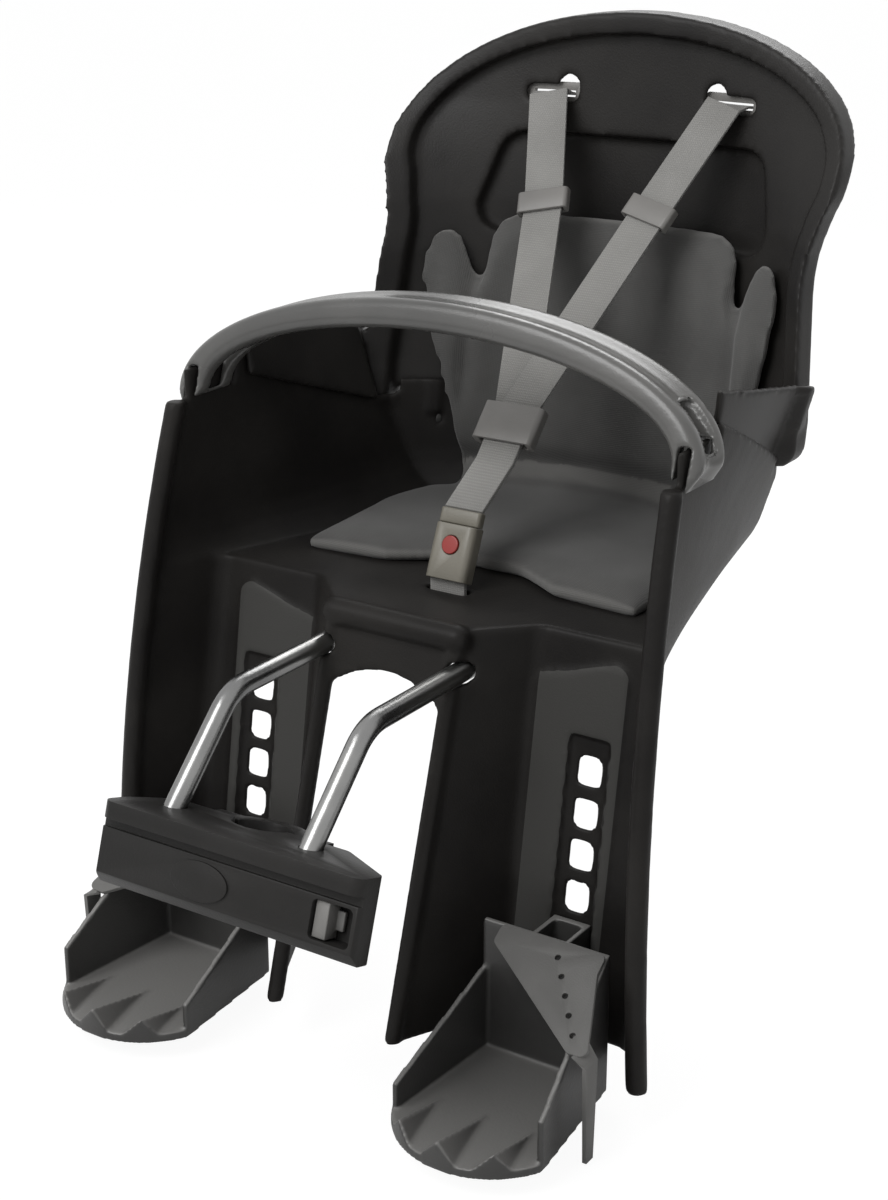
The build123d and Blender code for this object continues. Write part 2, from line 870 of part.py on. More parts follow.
with BuildPart() as crotch_anchor:
    with BuildSketch(Plane((0, crotch_y, anchor_top))):
        RectangleRounded(anchor_width + shell_wall, anchor_depth, shell_wall)
        Rectangle(crotch_width + 2 * clearance, crotch_thick + 2 * clearance, mode=Mode.SUBTRACT)
    extrude(amount=-anchor_thick)
save(crotch_anchor, "crotch_anchor")

# Steel fork
slope = radians(rod_slope)
lean = radians(head_tube_lean)
tube_up = Vector(0, sin(lean), cos(lean))
rod_way = Vector(0, -cos(slope), -sin(slope))
rod_x = rod_spread / 2
rod_corner = Vector(0, rod_bend_y, rod_level)
entry_run = (rod_corner.dot(tube_up) - block_height / 2) / -rod_way.dot(tube_up)
rod_run = entry_run + rod_depth_in_block
rod_end = rod_corner + rod_way * rod_run
with BuildPart() as support_fork:
    with BuildLine() as fork_line:
        FilletPolyline(
            (rod_x, rod_end.Y, rod_end.Z),
            (rod_x, rod_bend_y, rod_level),
            (rod_x, rod_rear_y, rod_level),
            (-rod_x, rod_rear_y, rod_level),
            (-rod_x, rod_bend_y, rod_level),
            (-rod_x, rod_end.Y, rod_end.Z),
            radius=rod_bend_radius,
        )
    with BuildSketch(Plane((rod_x, rod_end.Y, rod_end.Z), z_dir=rod_way * -1)):
        Circle(rod_diameter / 2)
    sweep()
save(support_fork, "support_fork")

bracket_foot = rod_level - rod_diameter / 2 - bracket_wall
bracket_height = seat_floor - shell_wall - bracket_foot
with BuildPart() as fork_bracket:
    with Locations((0, bracket_y, bracket_foot)):
        Box(2 * bracket_half, bracket_length, bracket_height, align=(Align.CENTER, Align.CENTER, Align.MIN))
        Box(
            2 * (rod_x - rod_diameter / 2 - bracket_wall),
            2 * bracket_length,
            bracket_height - bracket_wall,
            align=(Align.CENTER, Align.CENTER, Align.MIN),
            mode=Mode.SUBTRACT,
        )
    for side in (-1, 1):
        with Locations((side * rod_x, bracket_y, rod_level)):
            Cylinder(
                rod_diameter / 2 + clearance, 2 * bracket_length, rotation=(90, 0, 0), mode=Mode.SUBTRACT
            )
    with Locations(*bracket_screw_places):
        Cylinder(bracket_screw_diameter / 2 + clearance, reach_all, mode=Mode.SUBTRACT)
save(fork_bracket, "fork_bracket")

with BuildPart() as bracket_screws:
    for x, y, z in bracket_screw_places:
        with Locations((x, y, bracket_foot)):
            Cylinder(
                bracket_screw_diameter / 2,
                seat_floor - clearance - bracket_foot,
                align=(Align.CENTER, Align.CENTER, Align.MIN),
            )
            Cylinder(
                bracket_screw_head / 2,
                bracket_screw_head_height,
                align=(Align.CENTER, Align.CENTER, Align.MAX),
            )
save(bracket_screws, "bracket_screws")

# Mounting block on the head tube
tube_radius = head_tube_diameter / 2
block_back = Vector(0, cos(lean), -sin(lean))
clamp_plane = Plane((0, 0, 0), x_dir=(1, 0, 0), z_dir=tube_up)
side_plane = Plane((0, 0, 0), x_dir=block_back, z_dir=(1, 0, 0))
front_plane = Plane(block_back * -block_depth, x_dir=(1, 0, 0), z_dir=block_back * -1)
bolt_x = tube_radius + clamp_bolt_margin + clamp_bolt_diameter / 2
bolt_spots = [(side * bolt_x, end * clamp_bolt_spread / 2) for side in (-1, 1) for end in (-1, 1)]
window_x = block_left_reach - window_margin - window_width / 2
window_level = -(block_rib_height - block_groove_height)
with BuildPart() as mount_block:
    half_height = block_height / 2
    with BuildSketch(side_plane.offset(-block_right_reach)):
        with BuildLine():
            rib_foot = half_height - block_rib_height
            Polyline(
                (-clamp_split / 2, -half_height),
                (block_chin - block_depth, -half_height),
                (-block_depth, block_chin - half_height),
                (-block_depth, rib_foot - block_groove_height),
                (block_groove_depth - block_depth, rib_foot - block_groove_height),
                (block_groove_depth - block_depth, rib_foot),
                (-block_depth - block_rib_rise, rib_foot),
                (-block_depth - block_rib_rise, half_height),
                (-clamp_split / 2, half_height),
                close=True,
            )
        make_face()
    extrude(amount=block_right_reach + block_left_reach)
    with BuildSketch(clamp_plane):
        with BuildLine():
            front_reach = block_depth + block_rib_rise
            Polyline(
                (-block_shoulder, -clamp_split / 2),
                (block_shoulder, -clamp_split / 2),
                (block_left_reach, block_end_depth - front_reach),
                (block_left_reach, -front_reach),
                (-block_right_reach, -front_reach),
                (-block_right_reach, block_end_depth - front_reach),
                close=True,
            )
        plan = make_face()
        fillet(plan.vertices(), block_corner)
    extrude(amount=block_height, both=True, mode=Mode.INTERSECT)
    with BuildSketch(clamp_plane):
        Circle(tube_radius)
    extrude(amount=block_height, both=True, mode=Mode.SUBTRACT)
    for side in (-1, 1):
        with BuildSketch(Plane((side * rod_x, rod_end.Y, rod_end.Z), z_dir=rod_way * -1)):
            Circle(rod_diameter / 2 + clearance)
        extrude(amount=2 * rod_depth_in_block, mode=Mode.SUBTRACT)
    with BuildSketch(Plane((0, 0, 0), x_dir=(1, 0, 0), z_dir=block_back * -1).offset(clamp_split / 2)):
        with Locations(*bolt_spots):
            Circle(clamp_insert_diameter / 2 + clearance)
    extrude(amount=clamp_insert_length, mode=Mode.SUBTRACT)
    with BuildSketch(front_plane):
        with Locations((0, window_level)):
            Ellipse(boss_length / 2, boss_height / 2)
    extrude(amount=boss_rise)
    with BuildSketch(front_plane.offset(block_rib_rise)):
        with Locations((window_x, window_level)):
            RectangleRounded(window_width, window_height, block_chin / 2)
    extrude(amount=-(window_depth + block_rib_rise), mode=Mode.SUBTRACT)
save(mount_block, "mount_block")

with BuildPart() as release_latch:
    latch_x = window_x - window_width / 2 + latch_width / 2 + 3 * clearance
    with BuildSketch(front_plane.offset(-(window_depth - clearance))):
        with Locations((latch_x, window_level)):
            RectangleRounded(latch_width, window_height - 4 * clearance, 2 * clearance)
    extrude(amount=window_depth - block_groove_depth)
    with BuildSketch(front_plane.offset(-(window_depth - clearance))):
        with Locations((latch_x + latch_travel / 2, window_level)):
            Rectangle(latch_width, window_height / 2)
    extrude(amount=block_groove_depth)
save(release_latch, "release_latch")

with BuildPart() as clamp_cap:
    with BuildSketch(clamp_plane):
        Circle(tube_radius + cap_wall)
        with Locations((0, clamp_split / 2)):
            Rectangle(
                2 * (bolt_x + clamp_bolt_diameter + cap_wall / 2),
                cap_ear,
                align=(Align.CENTER, Align.MIN),
            )
        with Locations((0, clamp_split / 2)):
            Rectangle(reach_all, reach_all, align=(Align.CENTER, Align.MAX), mode=Mode.SUBTRACT)
        Circle(tube_radius, mode=Mode.SUBTRACT)
    extrude(amount=cap_height / 2, both=True)
    with BuildSketch(Plane((0, 0, 0), x_dir=(1, 0, 0), z_dir=block_back * -1)):
        with Locations(*bolt_spots):
            Circle(clamp_bolt_diameter / 2 + clearance)
    extrude(amount=reach_all, both=True, mode=Mode.SUBTRACT)
save(clamp_cap, "clamp_cap")

bolt_seat = Plane(block_back * (clamp_split / 2 + cap_ear), x_dir=(1, 0, 0), z_dir=block_back * -1)
with BuildPart() as clamp_bolts:
    with BuildSketch(bolt_seat):
        with Locations(*bolt_spots):
            Circle(clamp_bolt_diameter / 2)
    extrude(amount=clamp_split + cap_ear + clamp_insert_length - clearance)
    with BuildSketch(bolt_seat):
        with Locations(*bolt_spots):
            Circle(clamp_bolt_head / 2)
            RegularPolygon(clamp_bolt_diameter / 2, 6, mode=Mode.SUBTRACT)
    extrude(amount=-clamp_bolt_diameter)
    with BuildSketch(bolt_seat):
        with Locations(*bolt_spots):
            Circle(clamp_bolt_socket / 2)
    extrude(amount=-clamp_bolt_diameter / 2)
save(clamp_bolts, "clamp_bolts")

with BuildPart() as clamp_inserts:
    with BuildSketch(Plane(block_back * (-clamp_split / 2), x_dir=(1, 0, 0), z_dir=block_back * -1)):
        with Locations(*bolt_spots):
            Circle(clamp_insert_diameter / 2)
            Circle(clamp_bolt_diameter / 2 + clearance, mode=Mode.SUBTRACT)
    extrude(amount=clamp_insert_length)
save(clamp_inserts, "clamp_inserts")


# Footrests, made for the child's left and mirrored to the right
def side_face(points):
    """Face in the side view, from points of depth and height."""
    with BuildSketch() as side_view:
        with BuildLine():
            Polyline(*points, close=True)
        make_face()
    return side_view.sketch


def sole_outline():
    """Plan of the footrest's sole, with a rounded toe."""
    with BuildSketch() as plan_view:
        with BuildLine():
            toe = ThreePointArc(
                (footrest_toe_inner, toe_corner_y),
                ((footrest_toe_inner + footrest_toe_outer) / 2, toe_y),
                (footrest_toe_outer, toe_corner_y),
            )
            Polyline(toe @ 1, (footrest_outer, heel_y), (footrest_inner, heel_y), toe @ 0)
        make_face()
    return plan_view.sketch


def side_wall(heel_x, toe_x, thick, profile):
    """Upright wall from heel to toe, cut to a profile in the side view."""
    with BuildPart() as wall:
        with BuildSketch(Plane.XY.offset(sole_foot)):
            with BuildLine():
                Polyline(
                    (heel_x, heel_back),
                    (heel_x + thick, heel_back),
                    (toe_x + thick, toe_corner_y),
                    (toe_x, toe_corner_y),
                    close=True,
                )
            make_face()
        extrude(amount=heel_top - sole_foot)
        with BuildSketch(Plane.YZ):
            add(side_face(profile))
        extrude(amount=reach_all, both=True, mode=Mode.INTERSECT)
    return wall.part


sole_foot = sole_level - sole_thick
heel_back = heel_y + footrest_wall
carriage_half = channel_width / 2 - carriage_room
rail_back = channel_depth - soft_gap
rail_front = panel_rise + carriage_web / 2
with BuildPart() as toe_ridges:
    pitch = (footrest_toe_outer - footrest_toe_inner - 2 * footrest_wall) / toe_ridge_count
    for place in range(toe_ridge_count):
        middle = footrest_toe_inner + footrest_wall + pitch * (place + 0.5)
        for y, share in ((toe_y - footrest_wall, 1.0), (toe_y + toe_ridge_length, toe_ridge_run_out)):
            with BuildSketch(Plane((0, y, 0), x_dir=(1, 0, 0), z_dir=(0, -1, 0))):
                with BuildLine():
                    Polyline(
                        (middle - share * pitch / 2, sole_level - sole_thick / 2),
                        (middle + share * pitch / 2, sole_level - sole_thick / 2),
                        (middle, sole_level + share * toe_ridge_height),
                        close=True,
                    )
                make_face()
        loft()
    with BuildSketch(Plane.XY):
        add(sole_outline())
    extrude(amount=reach_all, both=True, mode=Mode.INTERSECT)

with BuildPart() as left_footrest:
    with BuildSketch(Plane.XY.offset(sole_foot)):
        add(sole_outline())
    extrude(amount=sole_thick)
    add(
        side_wall(
            footrest_inner,
            footrest_toe_inner,
            footrest_wall,
            [
                (heel_back, sole_foot),
                (heel_back, heel_top),
                (heel_y, heel_top),
                (heel_y, inner_wall_heel),
                (toe_corner_y, inner_wall_toe),
                (toe_corner_y, sole_foot),
            ],
        )
    )
    add(
        side_wall(
            footrest_outer,
            footrest_toe_outer,
            -footrest_wall,
            [
                (heel_back, sole_foot),
                (heel_back, heel_top),
                (heel_y, heel_top),
                (toe_corner_y, outer_wall_toe),
                (toe_corner_y, sole_foot),
            ],
        )
    )
    with Locations((footrest_inner, heel_y, sole_foot)):
        Box(
            footrest_outer - footrest_inner,
            footrest_wall,
            heel_top - sole_foot,
            align=(Align.MIN, Align.MIN, Align.MIN),
        )
    add(toe_ridges.part)
    for web_x in (channel_x - carriage_half, channel_x + carriage_half - carriage_web):
        with BuildSketch(Plane.YZ.offset(web_x)):
            add(
                side_face(
                    [
                        (heel_y, carriage_foot),
                        (calf_at(carriage_foot) + rail_back, carriage_foot),
                        (calf_at(carriage_top) + rail_back, carriage_top),
                        (heel_y, carriage_top),
                    ]
                )
            )
        extrude(amount=carriage_web)
    with BuildSketch(Plane.YZ.offset(channel_x - carriage_half)):
        add(
            side_face(
                [
                    (calf_at(carriage_foot) - rail_front, carriage_foot),
                    (calf_at(carriage_foot) + rail_back, carriage_foot),
                    (calf_at(carriage_top) + rail_back, carriage_top),
                    (calf_at(carriage_top) - rail_front, carriage_top),
                ]
            )
        )
    extrude(amount=2 * carriage_half)

rim_fall = (heel_top - outer_wall_toe) / (heel_y - toe_corner_y)
flap_plane = Plane((0, heel_y, heel_top + soft_gap), x_dir=(1, 0, 0), z_dir=(0, -rim_fall, 1))
neck = flap_plane.from_local_coords(Vector(foot_strap_neck_x, foot_strap_corner - foot_strap_run, 0))
neck += flap_plane.z_dir * (foot_strap_thick / 2)
band_middle = (foot_strap_inner + footrest_outer) / 2
with BuildPart() as left_foot_strap:
    with BuildSketch(flap_plane):
        with BuildLine():
            FilletPolyline(
                (foot_strap_inner, 0),
                (footrest_outer, 0),
                (footrest_outer, -foot_strap_band),
                (foot_strap_neck_x + foot_strap_neck / 2, -foot_strap_run),
                (foot_strap_neck_x - foot_strap_neck / 2, -foot_strap_run),
                (foot_strap_inner, -foot_strap_band),
                radius=foot_strap_corner,
                close=True,
            )
        make_face()
        for row in range(foot_strap_hole_count):
            share = (row + 1) / (foot_strap_hole_count + 1)
            spot_x = band_middle + share * (foot_strap_neck_x - band_middle)
            with Locations((spot_x, -share * foot_strap_run)):
                Circle(foot_strap_hole / 2, mode=Mode.SUBTRACT)
    extrude(amount=foot_strap_thick)
    add(
        ribbon(
            [
                (neck, flap_plane.z_dir, foot_strap_neck),
                (neck + Vector(foot_strap_tail_out, 0, -foot_strap_tail_out), (1, 0, 0.5), foot_strap_neck),
                (neck + Vector(foot_strap_tail_out, 0, -foot_strap_tail_length), (1, 0, 0), foot_strap_tail),
            ],
            foot_strap_thick,
        )
    )

for left, name in ((left_footrest, "footrest"), (left_foot_strap, "foot_strap")):
    save(left, f"left_{name}")
    with BuildPart() as right:
        mirror(left.part, about=Plane.YZ)
    save(right, f"right_{name}")
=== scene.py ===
# %% [markdown]
# # A child bike seat in Blender
# The seat was designed as solids first. Here the solids are loaded as a fixed frame, and each one is
# given the soft edges and the finish of the real piece: grained plastic, padded cloth, woven webbing,
# rubber and drawn steel. Everything is in metres, and the origin is the middle of the head tube clamp.

# %% Load the frame
from math import radians

import bpy
import numpy as np
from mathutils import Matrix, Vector


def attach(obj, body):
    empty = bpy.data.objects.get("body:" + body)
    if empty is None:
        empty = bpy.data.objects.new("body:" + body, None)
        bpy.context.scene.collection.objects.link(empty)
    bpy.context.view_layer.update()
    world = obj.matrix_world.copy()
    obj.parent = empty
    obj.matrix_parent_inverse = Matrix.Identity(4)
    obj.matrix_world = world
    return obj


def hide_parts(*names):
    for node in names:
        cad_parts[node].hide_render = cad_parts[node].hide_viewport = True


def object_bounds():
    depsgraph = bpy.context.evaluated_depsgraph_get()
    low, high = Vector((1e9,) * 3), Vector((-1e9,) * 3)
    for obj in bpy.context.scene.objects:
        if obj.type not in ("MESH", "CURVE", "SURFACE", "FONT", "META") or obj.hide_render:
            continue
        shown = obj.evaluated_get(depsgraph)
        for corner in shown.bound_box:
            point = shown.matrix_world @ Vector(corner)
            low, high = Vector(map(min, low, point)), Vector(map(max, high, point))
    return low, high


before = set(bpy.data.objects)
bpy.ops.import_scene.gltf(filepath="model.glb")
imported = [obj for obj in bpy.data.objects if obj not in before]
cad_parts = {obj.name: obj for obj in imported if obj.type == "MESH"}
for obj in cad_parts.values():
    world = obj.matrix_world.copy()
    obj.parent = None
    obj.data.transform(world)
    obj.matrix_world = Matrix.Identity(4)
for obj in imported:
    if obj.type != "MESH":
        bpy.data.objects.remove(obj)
cad_box = [list(corner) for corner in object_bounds()]
print("solids", len(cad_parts), "box", cad_box)

# %% [markdown]
# ## Camera
# The photograph looks down at the seat from its front left corner. A long lens keeps the sides nearly
# parallel, so the camera stands a little over a metre away with a 63 mm lens.

# %% Camera at the photograph's angle
CAMERA_PLACE = (0.6177, -0.7616, 0.5014)
CAMERA_TILT, CAMERA_TURN = radians(70), radians(33.35)
LENS, SENSOR = 63, 36
bpy.ops.object.select_all(action="DESELECT")
bpy.ops.object.camera_add(location=CAMERA_PLACE, rotation=(CAMERA_TILT, 0, CAMERA_TURN))
camera = bpy.context.object
camera.data.lens = LENS
camera.data.sensor_width = SENSOR
bpy.context.scene.camera = camera
bpy.context.scene.view_settings.view_transform = "Standard"
print("camera", tuple(round(v, 3) for v in camera.location))

# %% [markdown]
# ## World light
# A studio has white walls that fill the shadows. The world could have one strength for everything, but
# then a white background would also flood the dark plastic. Light Path tells the rays apart: the camera
# and the reflections see white, and all other rays get a weaker fill.

# %% World
FILL_LIGHT, SEEN_WHITE = 0.40, 1.0
world = bpy.data.worlds.new("studio_white")
bpy.context.scene.world = world
world.use_nodes = True
sky = world.node_tree.nodes
sky_links = world.node_tree.links
rays = sky.new("ShaderNodeLightPath")
seen = sky.new("ShaderNodeMath")
seen.operation = "MAXIMUM"
sky_links.new(rays.outputs["Is Camera Ray"], seen.inputs[0])
sky_links.new(rays.outputs["Is Glossy Ray"], seen.inputs[1])
level = sky.new("ShaderNodeMapRange")
level.inputs["To Min"].default_value = FILL_LIGHT
level.inputs["To Max"].default_value = SEEN_WHITE
sky_links.new(seen.outputs[0], level.inputs["Value"])
sky["Background"].inputs["Color"].default_value = (1, 1, 1, 1)
sky_links.new(level.outputs["Result"], sky["Background"].inputs["Strength"])
print("world", world.name)

# %% [markdown]
# ## Lamps
# Dark plastic shows its form through soft, wide highlights, so both lamps are large squares. One stands
# above the front. The other stands behind, on the far side from the camera, and lights the rims.


# %% Two square lamps
def lamp(name, place, turn, size, power):
    """A square studio lamp."""
    bpy.ops.object.light_add(type="AREA", location=place, rotation=[radians(a) for a in turn])
    light = bpy.context.object
    light.name = name
    light.data.size = size
    light.data.energy = power


lamp("lamp_front", place=(-0.5, -1.3, 1.7), turn=(40, 0, -20), size=1.2, power=26)
lamp("lamp_back", place=(-0.4, 1.5, 1.5), turn=(-50, 0, 19), size=1.0, power=18)
print("lamps", len(bpy.data.lights))

# %% [markdown]
# ## Floor
# The seat stands on a pale sheet that runs on to the horizon. A plain white floor would turn grey in the
# distance, so for camera rays most of it is an even glow, and the rest still takes a faint shadow.

# %% Floor
FLOOR_SIZE, FLOOR_GAP, FLOOR_GREY, FLOOR_ROUGH = 40, 0.002, 0.9, 0.9
FLOOR_GLOW, GLOW_SHARE = 1.1, 0.85
bpy.ops.mesh.primitive_plane_add(size=FLOOR_SIZE, location=(0, 0, cad_box[0][2] - FLOOR_GAP))
floor = bpy.context.object
floor.name = "floor"
floor_white = bpy.data.materials.new("floor_white")
floor_white.use_nodes = True
floor_nodes = floor_white.node_tree.nodes
floor_links = floor_white.node_tree.links
floor_nodes["Principled BSDF"].inputs["Base Color"].default_value = (FLOOR_GREY, FLOOR_GREY, FLOOR_GREY, 1)
floor_nodes["Principled BSDF"].inputs["Roughness"].default_value = FLOOR_ROUGH
glow = floor_nodes.new("ShaderNodeEmission")
glow.inputs["Strength"].default_value = FLOOR_GLOW
blend = floor_nodes.new("ShaderNodeMixShader")
floor_rays = floor_nodes.new("ShaderNodeLightPath")
share = floor_nodes.new("ShaderNodeMath")
share.operation = "MULTIPLY"
share.inputs[1].default_value = GLOW_SHARE
floor_links.new(floor_rays.outputs["Is Camera Ray"], share.inputs[0])
floor_links.new(share.outputs[0], blend.inputs["Fac"])
floor_links.new(floor_nodes["Principled BSDF"].outputs[0], blend.inputs[1])
floor_links.new(glow.outputs[0], blend.inputs[2])
floor_links.new(blend.outputs[0], floor_nodes["Material Output"].inputs["Surface"])
floor.data.materials.append(floor_white)
print("floor at", round(floor.location.z, 4))

# %% [markdown]
# ## Shared effects
# Several finishes need the same thing: a fine grain that breaks up the highlight, and slow patches of
# lighter and darker tone. Both are built once as a node group that puts out a colour, a roughness and a
# height, and each material sets its own values.

# %% Moulded grain group
PATCH_SCALE, PATCH_DETAIL, PORE_DETAIL = 14, 5, 3
PATCH_LOW, PATCH_HIGH, GLOSS_SPREAD = 0.35, 0.65, 0.16
grain = bpy.data.node_groups.new("moulded_grain", "ShaderNodeTree")
for socket, kind in (("Dark", "Color"), ("Light", "Color"), ("Grain", "Float"), ("Rough", "Float")):
    grain.interface.new_socket(socket, in_out="INPUT", socket_type=f"NodeSocket{kind}")
for socket, kind in (("Color", "Color"), ("Roughness", "Float"), ("Height", "Float")):
    grain.interface.new_socket(socket, in_out="OUTPUT", socket_type=f"NodeSocket{kind}")
gn, gl = grain.nodes, grain.links
grain_in, grain_out = gn.new("NodeGroupInput"), gn.new("NodeGroupOutput")
place = gn.new("ShaderNodeTexCoord")
patches = gn.new("ShaderNodeTexNoise")
patches.inputs["Scale"].default_value = PATCH_SCALE
patches.inputs["Detail"].default_value = PATCH_DETAIL
pores = gn.new("ShaderNodeTexNoise")
pores.inputs["Detail"].default_value = PORE_DETAIL
gl.new(place.outputs["Object"], patches.inputs["Vector"])
gl.new(place.outputs["Object"], pores.inputs["Vector"])
gl.new(grain_in.outputs["Grain"], pores.inputs["Scale"])
spread = gn.new("ShaderNodeMapRange")
spread.inputs["From Min"].default_value = PATCH_LOW
spread.inputs["From Max"].default_value = PATCH_HIGH
gl.new(patches.outputs["Fac"], spread.inputs["Value"])
tone = gn.new("ShaderNodeMix")
tone.data_type = "RGBA"
gl.new(spread.outputs["Result"], tone.inputs["Factor"])
gl.new(grain_in.outputs["Dark"], tone.inputs["A"])
gl.new(grain_in.outputs["Light"], tone.inputs["B"])
gl.new(tone.outputs["Result"], grain_out.inputs["Color"])
gloss = gn.new("ShaderNodeMath")
gloss.operation = "MULTIPLY_ADD"
gloss.inputs[1].default_value = GLOSS_SPREAD
gl.new(patches.outputs["Fac"], gloss.inputs[0])
gl.new(grain_in.outputs["Rough"], gloss.inputs[2])
gl.new(gloss.outputs[0], grain_out.inputs["Roughness"])
gl.new(pores.outputs["Fac"], grain_out.inputs["Height"])
print("group", grain.name)

# %% [markdown]
# ## Plain finishes
# The seat has many plastics that differ only in tone, gloss and grain. Each could be drawn by hand in the
# shader editor, but a helper that places the group and sets its values keeps them alike.

# %% Helper that makes a finish from the group
GRAIN_DEPTH = 0.0006


def grained(name, dark, light, grain_scale, rough, bump, shine=0.3, metal=0.0):
    """A material with tone patches, uneven gloss and a fine surface grain."""
    finish = bpy.data.materials.new(name)
    finish.use_nodes = True
    nodes, links = finish.node_tree.nodes, finish.node_tree.links
    shader = nodes["Principled BSDF"]
    shader.inputs["Metallic"].default_value = metal
    shader.inputs["Specular IOR Level"].default_value = shine
    group = nodes.new("ShaderNodeGroup")
    group.node_tree = grain
    group.name = "grain"
    group.inputs["Dark"].default_value = (*dark, 1)
    group.inputs["Light"].default_value = (*light, 1)
    group.inputs["Grain"].default_value = grain_scale
    group.inputs["Rough"].default_value = rough
    height = nodes.new("ShaderNodeBump")
    height.name = "height"
    height.inputs["Strength"].default_value = bump
    height.inputs["Distance"].default_value = GRAIN_DEPTH
    links.new(group.outputs["Color"], shader.inputs["Base Color"])
    links.new(group.outputs["Roughness"], shader.inputs["Roughness"])
    links.new(group.outputs["Height"], height.inputs["Height"])
    links.new(height.outputs["Normal"], shader.inputs["Normal"])
    return finish


# %% [markdown]
# ## Tones of the pieces
# The shell is black, the bar and the footrests are greys, the buckle is olive with a red button, and the
# rod, screws and inserts are metal. Each has two close tones, so that no surface is one flat colour. The
# numbers after the tones are the grain's scale, the roughness, the bump and the shine.

# %% Plastics and metals
shell_black = grained("shell_black", (0.013, 0.012, 0.0115), (0.022, 0.0205, 0.019), 900, 0.34, 0.22, 0.2)
block_black = grained("block_black", (0.013, 0.0125, 0.012), (0.021, 0.020, 0.019), 700, 0.32, 0.22, 0.2)
bar_grey = grained("bar_grey", (0.078, 0.077, 0.074), (0.115, 0.113, 0.108), 800, 0.20, 0.12, 0.6)
footrest_grey = grained("footrest_grey", (0.038, 0.037, 0.036), (0.058, 0.057, 0.055), 600, 0.28, 0.22, 0.5)
strap_rubber = grained("strap_rubber", (0.120, 0.118, 0.114), (0.160, 0.158, 0.152), 1200, 0.46, 0.30)
buckle_olive = grained("buckle_olive", (0.165, 0.154, 0.125), (0.230, 0.215, 0.178), 900, 0.30, 0.18, 0.5)
keeper_grey = grained("keeper_grey", (0.165, 0.160, 0.152), (0.225, 0.217, 0.206), 900, 0.32, 0.18, 0.5)
latch_grey = grained("latch_grey", (0.150, 0.148, 0.142), (0.210, 0.205, 0.196), 900, 0.32, 0.18, 0.5)
button_red = grained("button_red", (0.270, 0.022, 0.020), (0.350, 0.036, 0.030), 400, 0.20, 0.05, 0.5)
drawn_steel = grained("drawn_steel", (0.20, 0.20, 0.20), (0.36, 0.36, 0.35), 500, 0.20, 0.10, metal=1.0)
zinc_screw = grained("zinc_screw", (0.05, 0.05, 0.049), (0.09, 0.09, 0.087), 900, 0.30, 0.15, metal=1.0)
insert_brass = grained("insert_brass", (0.50, 0.36, 0.14), (0.62, 0.47, 0.20), 900, 0.28, 0.15, metal=1.0)
print("finishes", len(bpy.data.materials))

# %% [markdown]
# ## Tub finish
# The tub is the same black plastic as the backrest, only duller. It could have a material of its own, but
# a copy keeps both alike, and only the shine is changed.

# %% Tub finish
TUB_SHINE = 0.12
tub_black = shell_black.copy()
tub_black.name = "tub_black"
nodes, links = tub_black.node_tree.nodes, tub_black.node_tree.links
nodes["Principled BSDF"].inputs["Specular IOR Level"].default_value = TUB_SHINE
print("tub finish", tub_black.name)

# %% [markdown]
# ## Leg guard panels
# Each leg guard has a flat raised panel in a lighter tone, with the footrest's channel cut through it. It
# is the same moulding as the tub, so the tone is a mask in the tub's own material: points that stand more
# than a millimetre in front of the calf wall, between the panel's two sides.

# %% Helper for the mask's sums
spot = nodes.new("ShaderNodeTexCoord")
axes = nodes.new("ShaderNodeSeparateXYZ")
links.new(spot.outputs["Object"], axes.inputs[0])


def math_node(operation, first, second):
    """One sum in the mask: each side is a socket or a number."""
    node = nodes.new("ShaderNodeMath")
    node.operation = operation
    for place_in, value in enumerate((first, second)):
        if isinstance(value, (int, float)):
            node.inputs[place_in].default_value = value
        else:
            links.new(value, node.inputs[place_in])
    return node.outputs[0]


# %% Panel mask
CALF_Y, CALF_SLOPE = 0.145, 0.157
PANEL_PROUD, PANEL_LIMIT = 0.0011, 0.0044
PANEL_INNER, PANEL_OUTER, PANEL_FOOT, PANEL_TOP = 0.077, 0.131, -0.119, 0.09
PANEL_GREY = (0.058, 0.057, 0.054, 1)
wall_y = math_node("ADD", math_node("MULTIPLY", axes.outputs["Z"], CALF_SLOPE), CALF_Y)
proud = math_node("SUBTRACT", wall_y, axes.outputs["Y"])
half_width = math_node("ABSOLUTE", axes.outputs["X"], 0)
panel_mask = 1.0
for value, low, high in (
    (proud, PANEL_PROUD, PANEL_LIMIT),
    (half_width, PANEL_INNER, PANEL_OUTER),
    (axes.outputs["Z"], PANEL_FOOT, PANEL_TOP),
):
    panel_mask = math_node("MULTIPLY", panel_mask, math_node("GREATER_THAN", value, low))
    panel_mask = math_node("MULTIPLY", panel_mask, math_node("LESS_THAN", value, high))
two_tone = nodes.new("ShaderNodeMix")
two_tone.data_type = "RGBA"
two_tone.inputs["B"].default_value = PANEL_GREY
links.new(panel_mask, two_tone.inputs["Factor"])
links.new(nodes["grain"].outputs["Color"], two_tone.inputs["A"])
links.new(two_tone.outputs["Result"], nodes["Principled BSDF"].inputs["Base Color"])
print("panel mask nodes", len(nodes))
